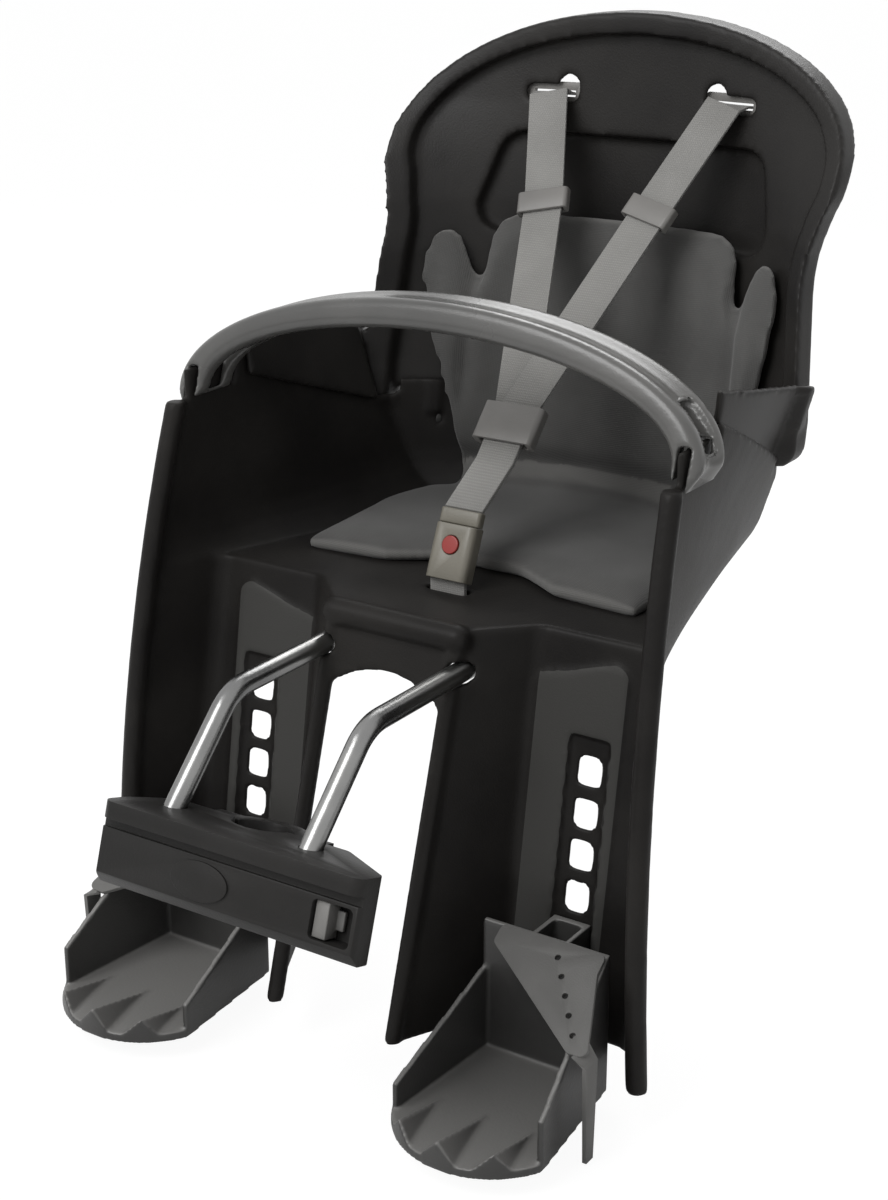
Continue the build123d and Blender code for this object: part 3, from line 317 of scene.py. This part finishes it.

# %% [markdown]
# ## Footrest treads
# The upward faces of the footrests are painted a paler grey. This is painted light: it stands in for the
# light from above that falls on the treads, while the walls stay in shade. A second material on these faces
# would need them picked out, and after the remesh there are thousands. So the finish reads the surface's
# own normal, and changes to a paler grey where it faces upwards.

# %% Paler treads, painted light from above
LIT_TOP_STARTS, LIT_TOP_FULL = 0.35, 0.85
# The paler grey is painted light: faces that point upwards are drawn lighter, as if lit from above.
LIT_TOP_GREY = (0.215, 0.211, 0.204, 1)
nodes, links = footrest_grey.node_tree.nodes, footrest_grey.node_tree.links
facing_up = nodes.new("ShaderNodeNewGeometry")
facing_axes = nodes.new("ShaderNodeSeparateXYZ")
links.new(facing_up.outputs["Normal"], facing_axes.inputs[0])
lit_top_share = nodes.new("ShaderNodeMapRange")
lit_top_share.inputs["From Min"].default_value = LIT_TOP_STARTS
lit_top_share.inputs["From Max"].default_value = LIT_TOP_FULL
links.new(facing_axes.outputs["Z"], lit_top_share.inputs["Value"])
# Painted light: blend towards the paler grey on the upward faces.
lit_top_tone = nodes.new("ShaderNodeMix")
lit_top_tone.data_type = "RGBA"
lit_top_tone.inputs["B"].default_value = LIT_TOP_GREY
links.new(lit_top_share.outputs["Result"], lit_top_tone.inputs["Factor"])
links.new(nodes["grain"].outputs["Color"], lit_top_tone.inputs["A"])
links.new(lit_top_tone.outputs["Result"], nodes["Principled BSDF"].inputs["Base Color"])
print("tread nodes", len(nodes))

# %% [markdown]
# ## Weave
# Harness webbing and the pad's cover are woven. Real threads would be far too many to model, so two wave
# textures whose bands cross stand for them. Webbing and cover share this effect, so it is a node group
# with its own pitch and turn, and it puts out the height of the ribs.

# %% Weave group
RIB_WOBBLE = 0.6
weave = bpy.data.node_groups.new("weave", "ShaderNodeTree")
for socket in ("Pitch", "Turn"):
    weave.interface.new_socket(socket, in_out="INPUT", socket_type="NodeSocketFloat")
weave.interface.new_socket("Ribs", in_out="OUTPUT", socket_type="NodeSocketFloat")
wn, wl = weave.nodes, weave.links
weave_in, weave_out = wn.new("NodeGroupInput"), wn.new("NodeGroupOutput")
weave_place = wn.new("ShaderNodeTexCoord")
turned = wn.new("ShaderNodeVectorRotate")
turned.rotation_type = "X_AXIS"
wl.new(weave_place.outputs["Object"], turned.inputs["Vector"])
wl.new(weave_in.outputs["Turn"], turned.inputs["Angle"])
crossed = wn.new("ShaderNodeMath")
crossed.operation = "MULTIPLY"
for place_in, direction in enumerate(("Z", "X")):
    rib = wn.new("ShaderNodeTexWave")
    rib.bands_direction = direction
    rib.inputs["Distortion"].default_value = RIB_WOBBLE
    wl.new(turned.outputs["Vector"], rib.inputs["Vector"])
    wl.new(weave_in.outputs["Pitch"], rib.inputs["Scale"])
    wl.new(rib.outputs["Fac"], crossed.inputs[place_in])
wl.new(crossed.outputs[0], weave_out.inputs["Ribs"])
print("group", weave.name)

# %% [markdown]
# ## Webbing and cover
# The ribs make the cloth lighter and lift its surface, and a little sheen gives the soft edge of fibres.
# The pad has an upright and a level part. Its ribs are turned by 45 degrees, so that they cross both.

# %% Woven finishes
CLOTH_GRAIN, CLOTH_ROUGH, CLOTH_SHINE, CLOTH_SHEEN = 1500, 0.62, 0.2, 0.25
RIB_LIGHT = (1.35, 1.35, 1.33, 1)


def woven(name, dark, light, pitch, bump, turn=0):
    """Cloth with two crossed sets of ribs, one of them turned in degrees about the width."""
    finish = grained(name, dark, light, CLOTH_GRAIN, CLOTH_ROUGH, bump, CLOTH_SHINE)
    nodes, links = finish.node_tree.nodes, finish.node_tree.links
    ribs = nodes.new("ShaderNodeGroup")
    ribs.node_tree = weave
    ribs.inputs["Pitch"].default_value = pitch
    ribs.inputs["Turn"].default_value = radians(turn)
    shade = nodes.new("ShaderNodeMix")
    shade.data_type = "RGBA"
    shade.blend_type = "MULTIPLY"
    shade.inputs["B"].default_value = RIB_LIGHT
    links.new(ribs.outputs["Ribs"], shade.inputs["Factor"])
    links.new(nodes["grain"].outputs["Color"], shade.inputs["A"])
    links.new(shade.outputs["Result"], nodes["Principled BSDF"].inputs["Base Color"])
    links.new(ribs.outputs["Ribs"], nodes["height"].inputs["Height"])
    nodes["Principled BSDF"].inputs["Sheen Weight"].default_value = CLOTH_SHEEN
    return finish


webbing_grey = woven("webbing_grey", (0.235, 0.231, 0.222), (0.300, 0.295, 0.284), pitch=260, bump=0.5)
pad_cloth = woven("pad_cloth", (0.073, 0.072, 0.070), (0.108, 0.107, 0.104), pitch=340, bump=0.35, turn=45)
print("cloth", webbing_grey.name, pad_cloth.name)

# %% [markdown]
# ## Copies of the solids
# A solid arrives as loose triangles. Its copy is merged into one skin first, because modifiers and
# edit-mode tools need neighbours to work on. The copy then takes the solid's place on the same body.

# %% Helpers that copy, join, apply and dress
MERGE = 0.00002


def copy_of(node):
    """A merged copy of a solid, as its own object."""
    bpy.ops.object.select_all(action="DESELECT")
    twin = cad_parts[node].copy()
    twin.data = twin.data.copy()
    twin.name = f"{node}_made"
    twin.parent = None
    bpy.context.collection.objects.link(twin)
    bpy.context.view_layer.objects.active = twin
    twin.select_set(True)
    bpy.ops.object.mode_set(mode="EDIT")
    bpy.ops.mesh.select_all(action="SELECT")
    bpy.ops.mesh.remove_doubles(threshold=MERGE)
    bpy.ops.object.mode_set(mode="OBJECT")
    return twin


def join_into(piece):
    """Join everything that is selected into a piece."""
    piece.select_set(True)
    bpy.context.view_layer.objects.active = piece
    bpy.ops.object.join()


def apply_all(piece):
    """Apply every modifier of a piece, in order."""
    bpy.ops.object.select_all(action="DESELECT")
    bpy.context.view_layer.objects.active = piece
    piece.select_set(True)
    for modifier in list(piece.modifiers):
        bpy.ops.object.modifier_apply(modifier=modifier.name)


def dress(piece, node, body, finish):
    """Give a piece its finish and its body, and hide the solid that it stands for."""
    piece.data.materials.clear()
    piece.data.materials.append(finish)
    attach(piece, body)
    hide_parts(node)
    piece.data.calc_loop_triangles()
    print(node, len(piece.data.loop_triangles), "triangles")


# %% [markdown]
# ## Two ways to round an edge
# Solids have knife-sharp edges, and no real piece has. A thin moulding is rebuilt as an even mesh with a
# voxel remesh and then relaxed, which rounds every edge as a mould does. A small hard piece keeps its
# flat faces, and a bevel rounds only its edges.

# %% Helpers for mouldings and hard pieces
EASE, BEVEL_STEPS = 0.5, 2
FLAT_ANGLE, EDGE_ANGLE, SHADE_ANGLE = radians(1), radians(40), radians(35)


def even_skin(piece, voxel, relax):
    """The modifiers that rebuild a piece as an even mesh and relax it."""
    even = piece.modifiers.new("even", "REMESH")
    even.mode = "VOXEL"
    even.voxel_size = voxel
    ease = piece.modifiers.new("ease", "SMOOTH")
    ease.factor = EASE
    ease.iterations = relax


def moulded(piece, node, body, finish, voxel, relax, keep=1.0):
    """A thin moulding: even mesh, rounded edges, smooth shading."""
    even_skin(piece, voxel, relax)
    if keep < 1.0:
        thin = piece.modifiers.new("thin", "DECIMATE")
        thin.ratio = keep
    apply_all(piece)
    bpy.ops.object.shade_smooth()
    dress(piece, node, body, finish)
    return piece


def crisp(node, body, finish, edge):
    """A small hard piece: flat faces with bevelled edges."""
    piece = copy_of(node)
    bpy.ops.object.mode_set(mode="EDIT")
    bpy.ops.mesh.select_all(action="SELECT")
    bpy.ops.mesh.dissolve_limited(angle_limit=FLAT_ANGLE)
    bpy.ops.object.mode_set(mode="OBJECT")
    soften = piece.modifiers.new("soften", "BEVEL")
    soften.width = edge
    soften.segments = BEVEL_STEPS
    soften.limit_method = "ANGLE"
    soften.angle_limit = EDGE_ANGLE
    apply_all(piece)
    bpy.ops.object.shade_smooth_by_angle(angle=SHADE_ANGLE)
    dress(piece, node, body, finish)


# %% [markdown]
# ## Cuts across the tub
# In the photograph the tub's sides rise behind the grab bar, and its rear corners close up to the
# backrest. Sculpting could raise them, but the edge should stay straight. So the tub's copy is cut with
# bisect first, which gives the top faces clean ends to pull on.

# %% Cut the tub's copy
ARM_FRONT, ARM_REAR = 0.186, 0.303
CORNER_INNER, CORNER_OUTER = 0.092, 0.1305
tub = copy_of("seat_tub")
bpy.ops.object.mode_set(mode="EDIT")
bpy.ops.mesh.select_mode(type="FACE")
for cut in (ARM_FRONT, (ARM_FRONT + ARM_REAR) / 2, ARM_REAR):
    bpy.ops.mesh.select_all(action="SELECT")
    bpy.ops.mesh.bisect(plane_co=(0, cut, 0), plane_no=(0, 1, 0))
for cut in (-CORNER_OUTER, -CORNER_INNER, CORNER_INNER, CORNER_OUTER):
    bpy.ops.mesh.select_all(action="SELECT")
    bpy.ops.mesh.bisect(plane_co=(cut, 0, 0), plane_no=(1, 0, 0))
bpy.ops.object.mode_set(mode="OBJECT")
print("cut tub points", len(tub.data.vertices))

# %% [markdown]
# ## Pulling faces up
# The tub's top edge is one slanted face all the way round, so its faces are found by their normal. The
# helper extrudes those that lie in a given area and then moves the new points one by one.

# %% Helper that pulls the top up
TOP_UPWARDS, TOP_BACKWARDS, TOP_LEVEL = 0.94, 0.2, 0.14


def pull_up(piece, inside, target):
    """Extrude the top faces whose middle lies inside, and move their points to the target."""
    bpy.ops.object.mode_set(mode="EDIT")
    bpy.ops.mesh.select_all(action="DESELECT")
    bpy.ops.object.mode_set(mode="OBJECT")
    for face in piece.data.polygons:
        slanted = face.normal.z > TOP_UPWARDS and face.normal.y > TOP_BACKWARDS
        on_top = slanted and face.center.z > TOP_LEVEL
        face.select = on_top and inside(abs(face.center.x), face.center.y)
    print("top faces", sum(face.select for face in piece.data.polygons))
    bpy.ops.object.mode_set(mode="EDIT")
    bpy.ops.mesh.extrude_region_move()
    bpy.ops.object.mode_set(mode="OBJECT")
    for point in piece.data.vertices:
        if point.select:
            point.co = target(point.co)


# %% [markdown]
# ## Higher arms
# Each arm rises behind the bar and falls towards the backrest. It leans outwards as the tub's wall below
# it does, and its front end is set back so that it clears the bar.

# %% Raise the arms
ARM_SHIFT, ARM_TOP_FRONT, ARM_TOP_REAR = 0.008, 0.217, 0.170
FLARE_FRONT, FLARE_REAR = 0.06, 0.34


def arm_point(spot):
    """A point of the arm's top, raised and leaned outwards."""
    share = (spot.y - ARM_FRONT) / (ARM_REAR - ARM_FRONT)
    rise = ARM_TOP_FRONT + share * (ARM_TOP_REAR - ARM_TOP_FRONT) - spot.z
    flare = FLARE_FRONT + share * (FLARE_REAR - FLARE_FRONT)
    side = 1 if spot.x > 0 else -1
    return spot + Vector((side * flare * rise, (1 - share) * ARM_SHIFT, rise))


pull_up(tub, lambda x, y: x > CORNER_OUTER and ARM_FRONT < y < ARM_REAR, arm_point)

# %% [markdown]
# ## Closed corners
# Without these, daylight shows between the tub and the backrest. The corners rise in front of the
# backrest and lean back with it, and the short stretch under the rim rises until it sits in the rim.

# %% Raise the corners
CORNER_TOP, CORNER_LEAN, RIM_FOOT = 0.174, 0.1, 0.165


def corner_point(spot):
    """A point of the rear corner, raised in front of the backrest."""
    return Vector((spot.x, spot.y + CORNER_LEAN * (CORNER_TOP - spot.z), CORNER_TOP))


def rim_point(spot):
    """A point under the backrest's rim, raised to where it sits in the rim."""
    return Vector((spot.x, spot.y, max(spot.z, RIM_FOOT)))


pull_up(tub, lambda x, y: CORNER_INNER < x < CORNER_OUTER and y > ARM_REAR, corner_point)
pull_up(tub, lambda x, y: x > CORNER_OUTER and y > ARM_REAR, rim_point)

# %% [markdown]
# ## Plugs
# A screw hole cuts into each corner's old edge, and pulling the faces up drew that cut out into a slot.
# A small block in the wall closes it, and the remesh later makes both one skin.

# %% Plug the slots above the screw holes
PLUG_X, PLUG_Y, PLUG_Z, PLUG_TURN, PLUG_LEAN = 0.112, 0.3353, 0.1625, 33, 5.7
PLUG_SIZE = (0.009, 0.004, 0.021)
for side in (1, -1):
    bpy.ops.object.select_all(action="DESELECT")
    bpy.ops.mesh.primitive_cube_add(
        size=1,
        location=(side * PLUG_X, PLUG_Y, PLUG_Z),
        rotation=(radians(-PLUG_LEAN), 0, radians(-side * PLUG_TURN)),
        scale=PLUG_SIZE,
    )
    join_into(tub)
print("tub points", len(tub.data.vertices))

# %% [markdown]
# ## Wings of the backrest
# From each lower corner of the backrest a thin wing runs forwards along the inside of the tub's arm, up
# to the grab bar. A wing starts as a flat grid. Its points are set between a lower and an upper line, a
# solidify modifier gives it its wall, and it is joined to the backrest, so that the remesh fuses both.

# %% Build and join the wings
WING_FRONT, WING_REAR, WING_WALL, WING_GAP = 0.1975, 0.322, 0.0042, 0.0008
WING_LOW, WING_LOW_FALL, WING_FOOT = 0.199, 0.34, 0.1615
WING_HIGH, WING_HIGH_FALL = 0.2325, 0.19
WING_STEPS, WING_ROWS, GRID_HALF = 24, 8, 0.5
ARM_X, ARM_Y, ARM_Z = 0.1514, 0.250, 0.190
ARM_TAPER, ARM_FLARE, ARM_TWIST = -0.069, 0.22, 2.18
back = copy_of("backrest")
for side in (1, -1):
    bpy.ops.object.select_all(action="DESELECT")
    bpy.ops.mesh.primitive_grid_add(x_subdivisions=WING_STEPS, y_subdivisions=WING_ROWS, size=1)
    wing = bpy.context.object
    for point in wing.data.vertices:
        along, up = point.co.x + GRID_HALF, point.co.y + GRID_HALF
        y = WING_FRONT + along * (WING_REAR - WING_FRONT)
        low = max(WING_LOW - WING_LOW_FALL * (y - WING_FRONT), WING_FOOT)
        high = WING_HIGH - WING_HIGH_FALL * (y - WING_FRONT)
        z = low + up * (high - low)
        twist = ARM_TWIST * (y - ARM_Y) * (z - ARM_Z)
        inner_wall = ARM_X + ARM_TAPER * (y - ARM_Y) + ARM_FLARE * (z - ARM_Z) + twist
        x = inner_wall - WING_GAP - WING_WALL / 2
        point.co = (side * x, y, z)
    wall = wing.modifiers.new("wall", "SOLIDIFY")
    wall.thickness = WING_WALL
    wall.offset = 0
    apply_all(wing)
    bpy.ops.object.mode_set(mode="EDIT")
    bpy.ops.mesh.select_all(action="SELECT")
    bpy.ops.mesh.normals_make_consistent(inside=False)
    bpy.ops.object.mode_set(mode="OBJECT")
    join_into(back)
print("backrest points with wings", len(back.data.vertices))

# %% [markdown]
# ## Screw tabs on the backrest
# The upper pair of backrest screws needs something to hold. A round tab with a short bridge hangs from
# the backrest's lower edge around each of these screws, between the tub and the screw's head. A cylinder
# and a box are enough, because the remesh fuses them with the backrest.

# %% Build and join the tabs
TAB_X, TAB_Y, TAB_Z, TAB_RADIUS, TAB_WALL = 0.112, 0.3393, 0.147, 0.0095, 0.004
BRIDGE_Y, BRIDGE_Z, BRIDGE_HEIGHT = 0.3407, 0.1565, 0.020
TAB_TURN, TAB_TILT, TAB_CORNERS = 34.5, 6.95, 48
for side in (1, -1):
    bpy.ops.object.select_all(action="DESELECT")
    bpy.ops.mesh.primitive_cylinder_add(
        vertices=TAB_CORNERS,
        radius=TAB_RADIUS,
        depth=TAB_WALL,
        location=(side * TAB_X, TAB_Y, TAB_Z),
        rotation=(radians(-90 - TAB_TILT), 0, radians(-side * TAB_TURN)),
    )
    tab = bpy.context.object
    bpy.ops.mesh.primitive_cube_add(
        size=1,
        location=(side * TAB_X, BRIDGE_Y, BRIDGE_Z),
        rotation=(radians(-TAB_TILT), 0, radians(-side * TAB_TURN)),
        scale=(2 * TAB_RADIUS, TAB_WALL, BRIDGE_HEIGHT),
    )
    tab.select_set(True)
    join_into(back)
print("backrest points with tabs", len(back.data.vertices))

# %% [markdown]
# ## Mouldings
# The tub, the backrest, the grab bar and the footrests are injection mouldings, so all of them get the
# even mesh. The walls are 4 mm thick, so the voxels stay under half of that. The tub and the backrest
# have the most points, so both are thinned afterwards.

# %% Tub, backrest, bar and footrests
moulded(tub, "seat_tub", "seat", tub_black, voxel=0.0019, relax=4, keep=0.6)
moulded(back, "backrest", "seat", shell_black, voxel=0.0018, relax=10, keep=0.7)
bar = moulded(copy_of("grab_bar"), "grab_bar", "seat", bar_grey, voxel=0.0014, relax=5)
for side in ("left", "right"):
    node = f"{side}_footrest"
    moulded(copy_of(node), node, node, footrest_grey, voxel=0.0012, relax=3)

# %% [markdown]
# ## Swollen corners of the backrest
# Towards its foot the backrest grows a little wider. The points of the rim are moved outwards, most at
# the foot. The wings in front of the rim and the screw tabs below it stay where they are.

# %% Swell the lower corners
SWELL, SWELL_TOP, SWELL_RUN = 0.0075, 0.265, 0.080
RIM_INNER, RIM_BLEND, RIM_FRONT, FRONT_BLEND = 0.112, 0.020, 0.304, 0.008
TAB_TOP, TAB_BLEND = 0.156, 0.004
for point in back.data.vertices:
    x, y, z = point.co
    low = min(max((SWELL_TOP - z) / SWELL_RUN, 0), 1)
    outer = min(max((abs(x) - RIM_INNER) / RIM_BLEND, 0), 1)
    behind = min(max((y - RIM_FRONT) / FRONT_BLEND, 0), 1)
    above_tab = min(max((z - TAB_TOP) / TAB_BLEND, 0), 1)
    point.co.x += SWELL * low * outer * behind * above_tab * (1 if x > 0 else -1)
back.data.update()
print("swollen to", round(max(point.co.x for point in back.data.vertices), 4))

# %% [markdown]
# ## Channel on the grab bar
# The top of the bar is slightly hollow between two raised edges. The points of its outer face are moved
# inwards, most along the middle line, and less towards the child's right end.


# %% Helper that reads the points
def point_rows(piece, what):
    """The places or the normals of a piece's points, three numbers in a row."""
    rows = np.empty(len(piece.data.vertices) * 3)
    piece.data.vertices.foreach_get(what, rows)
    return rows.reshape(-1, 3)


# %% Bar channel
BAR_Y, BAR_LEVEL, BAR_LEAN = 0.167, 0.200, 0.325
CHANNEL_DEPTH, CHANNEL_HALF, CHANNEL_SEEN = 0.0026, 0.008, 0.0005
CHANNEL_END, CHANNEL_FADE = 0.12, 0.16
OUT_SIDE, OUT_BASE, OUT_LIMIT = 0.5, 0.03, 0.02
points, normals = point_rows(bar, "co"), point_rows(bar, "normal")
off_middle = points[:, 1] - BAR_Y - BAR_LEAN * (points[:, 2] - BAR_LEVEL)
sideways = OUT_SIDE * normals[:, 0] * points[:, 0]
upwards = normals[:, 2] * (points[:, 2] - BAR_LEVEL + OUT_BASE)
outwards = sideways + upwards > OUT_LIMIT
dip = CHANNEL_DEPTH * np.exp(-((off_middle / CHANNEL_HALF) ** 2)) * outwards
dip *= np.clip((points[:, 0] + CHANNEL_END) / CHANNEL_FADE, 0, 1)
bar.data.vertices.foreach_set("co", (points - normals * dip[:, None]).reshape(-1))
bar.data.update()
print("channel points", int((dip > CHANNEL_SEEN).sum()))

# %% [markdown]
# ## Hard pieces
# The block, the bracket, the keepers and the buckle are small and solid, and the fork is one bent rod.
# They could be modelled anew, but the solids already have their shapes, so a bevel of about a millimetre
# or less is enough to catch the light along their edges.

# %% Block, clamp, bracket, buckle and keepers
for node in ("mount_block", "clamp_cap", "fork_bracket"):
    crisp(node, "seat", block_black, edge=0.0012)
crisp("release_latch", "release_latch", latch_grey, edge=0.0006)
for side in ("left", "right"):
    crisp(f"{side}_foot_strap", f"{side}_footrest", strap_rubber, edge=0.0006)
for node in ("left_strap_adjuster", "right_strap_adjuster", "strap_slider"):
    crisp(node, "seat", keeper_grey, edge=0.0006)
for node in ("left_strap_anchor", "right_strap_anchor", "crotch_anchor"):
    crisp(node, "seat", keeper_grey, edge=0.0005)
for node in ("buckle_housing", "buckle_tongue"):
    crisp(node, "seat", buckle_olive, edge=0.0008)
crisp("buckle_button", "buckle_button", button_red, edge=0.0002)
for node in ("backrest_screws", "bracket_screws", "clamp_bolts"):
    crisp(node, "seat", zinc_screw, edge=0.0003)
crisp("clamp_inserts", "seat", insert_brass, edge=0.0002)
crisp("support_fork", "seat", drawn_steel, edge=0.0008)

# %% [markdown]
# ## Webbing bands
# The harness is flat woven bands, 25 mm wide. They could be simulated as cloth, but a band that is pulled
# tight lies flat, and a remesh would melt its edges. So each keeps its solid's shape with a fine bevel.

# %% Harness webbing
for node in ("left_shoulder_strap", "right_shoulder_strap", "centre_strap", "crotch_strap"):
    crisp(node, "seat", webbing_grey, edge=0.0004)

# %% [markdown]
# ## Padded liner
# The liner is a soft foam pad in grey cloth. It starts from the solid, and a cloth simulation with inner
# pressure swells it, so that it crowns between its edges. The move of each point is capped, so the pad
# stays clear of the shell.

# %% Pad form
PAD_VOXEL, PAD_RELAX = 0.0034, 7
pad = copy_of("seat_pad")
even_skin(pad, PAD_VOXEL, PAD_RELAX)
apply_all(pad)
start = point_rows(pad, "co")
print("pad points", len(start))

# %% [markdown]
# ## Swell of the liner
# Foam pushes its cover outwards between the edges. Pressure in a cloth simulation does the same, and
# twenty frames are enough. The result is smoothed once more, because the simulation keeps small ripples.

# %% Pad swell
PAD_CAP, PAD_PRESSURE, PAD_FRAMES, PAD_CALM, TINY = 0.0035, 4, 20, 14, 1e-9
cloth = pad.modifiers.new("swell", "CLOTH")
cloth.settings.use_pressure = True
cloth.settings.uniform_pressure_force = PAD_PRESSURE
cloth.settings.effector_weights.gravity = 0
cloth.point_cache.frame_end = PAD_FRAMES
for step in range(1, PAD_FRAMES + 1):
    bpy.context.scene.frame_set(step)
apply_all(pad)
bpy.context.scene.frame_set(1)
move = point_rows(pad, "co") - start
length = np.maximum(np.linalg.norm(move, axis=1, keepdims=True), TINY)
points = start + move * np.minimum(1.0, PAD_CAP / length)
pad.data.vertices.foreach_set("co", points.reshape(-1))
calm = pad.modifiers.new("calm", "SMOOTH")
calm.factor = EASE
calm.iterations = PAD_CALM
apply_all(pad)
print("largest move", round(float(length.max()), 4))

# %% [markdown]
# ## Folds of the liner
# Three things are pressed into the front of the pad: the sewn lines under the two notches, the crease
# where the back meets the seat, and soft upright folds in the back.

# %% Pad sewn lines and folds
SEAM_X, SEAM_WIDTH, SEAM_DEPTH, SEAM_FOOT = 0.090, 0.0045, 0.0045, 0.150
CREASE_LEVEL, CREASE_HEIGHT, CREASE_FRONT = 0.126, 0.007, 0.29
FOLD_PITCH, FOLD_DEPTH, FOLD_LEAN = 0.046, 0.0016, 0.12
SEAM_BLEND, FRONT_LIMIT = 0.03, 0.2
points, normals = point_rows(pad, "co"), point_rows(pad, "normal")
x, y, z = points.T
on_back = np.clip((z - SEAM_FOOT) / SEAM_BLEND, 0, 1)
seam = np.exp(-(((np.abs(x) - SEAM_X) / SEAM_WIDTH) ** 2)) * on_back
crease = np.exp(-(((z - CREASE_LEVEL) / CREASE_HEIGHT) ** 2)) * (y > CREASE_FRONT)
waves = 0.5 + 0.5 * np.sin(2 * np.pi * (x + FOLD_LEAN * z) / FOLD_PITCH)
press = SEAM_DEPTH * np.maximum(seam, crease) + FOLD_DEPTH * waves * on_back
facing = np.clip(FRONT_LIMIT - normals[:, 1], 0, 1)
points = points - normals * (facing * press)[:, None]
pad.data.vertices.foreach_set("co", points.reshape(-1))
pad.data.update()
finer = pad.modifiers.new("finer", "SUBSURF")
finer.levels = 1
finer.render_levels = 1
apply_all(pad)
bpy.ops.object.shade_smooth()
print("pad points", len(pad.data.vertices))

# %% [markdown]
# ## Edge tape of the liner
# A narrow tape, a little lighter than the cloth, binds the pad's edge. An edge point is one whose normal
# lies along the pad instead of across it. That share is stored on the mesh, and the cloth's material
# reads it.

# %% Pad edge tape
BACK_LEVEL, TAPE_SIDE, TAPE_LIMIT, TAPE_BLEND = 0.125, 0.45, 0.75, 0.3
TAPE_GREY = (0.170, 0.167, 0.160, 1)
points, normals = point_rows(pad, "co"), point_rows(pad, "normal")
back_across = np.hypot(normals[:, 1], TAPE_SIDE * normals[:, 0])
across = np.where(points[:, 2] > BACK_LEVEL, back_across, normals[:, 2])
edge = np.clip((TAPE_LIMIT - np.abs(across)) / TAPE_BLEND, 0, 1)
tape = pad.data.attributes.new("tape", "FLOAT", "POINT")
tape.data.foreach_set("value", edge)
nodes, links = pad_cloth.node_tree.nodes, pad_cloth.node_tree.links
tape_share = nodes.new("ShaderNodeAttribute")
tape_share.attribute_name = "tape"
taped = nodes.new("ShaderNodeMix")
taped.data_type = "RGBA"
taped.inputs["B"].default_value = TAPE_GREY
cloth_tone = nodes["Principled BSDF"].inputs["Base Color"].links[0].from_socket
links.new(tape_share.outputs["Fac"], taped.inputs["Factor"])
links.new(cloth_tone, taped.inputs["A"])
links.new(taped.outputs["Result"], nodes["Principled BSDF"].inputs["Base Color"])
dress(pad, "seat_pad", "seat", pad_cloth)
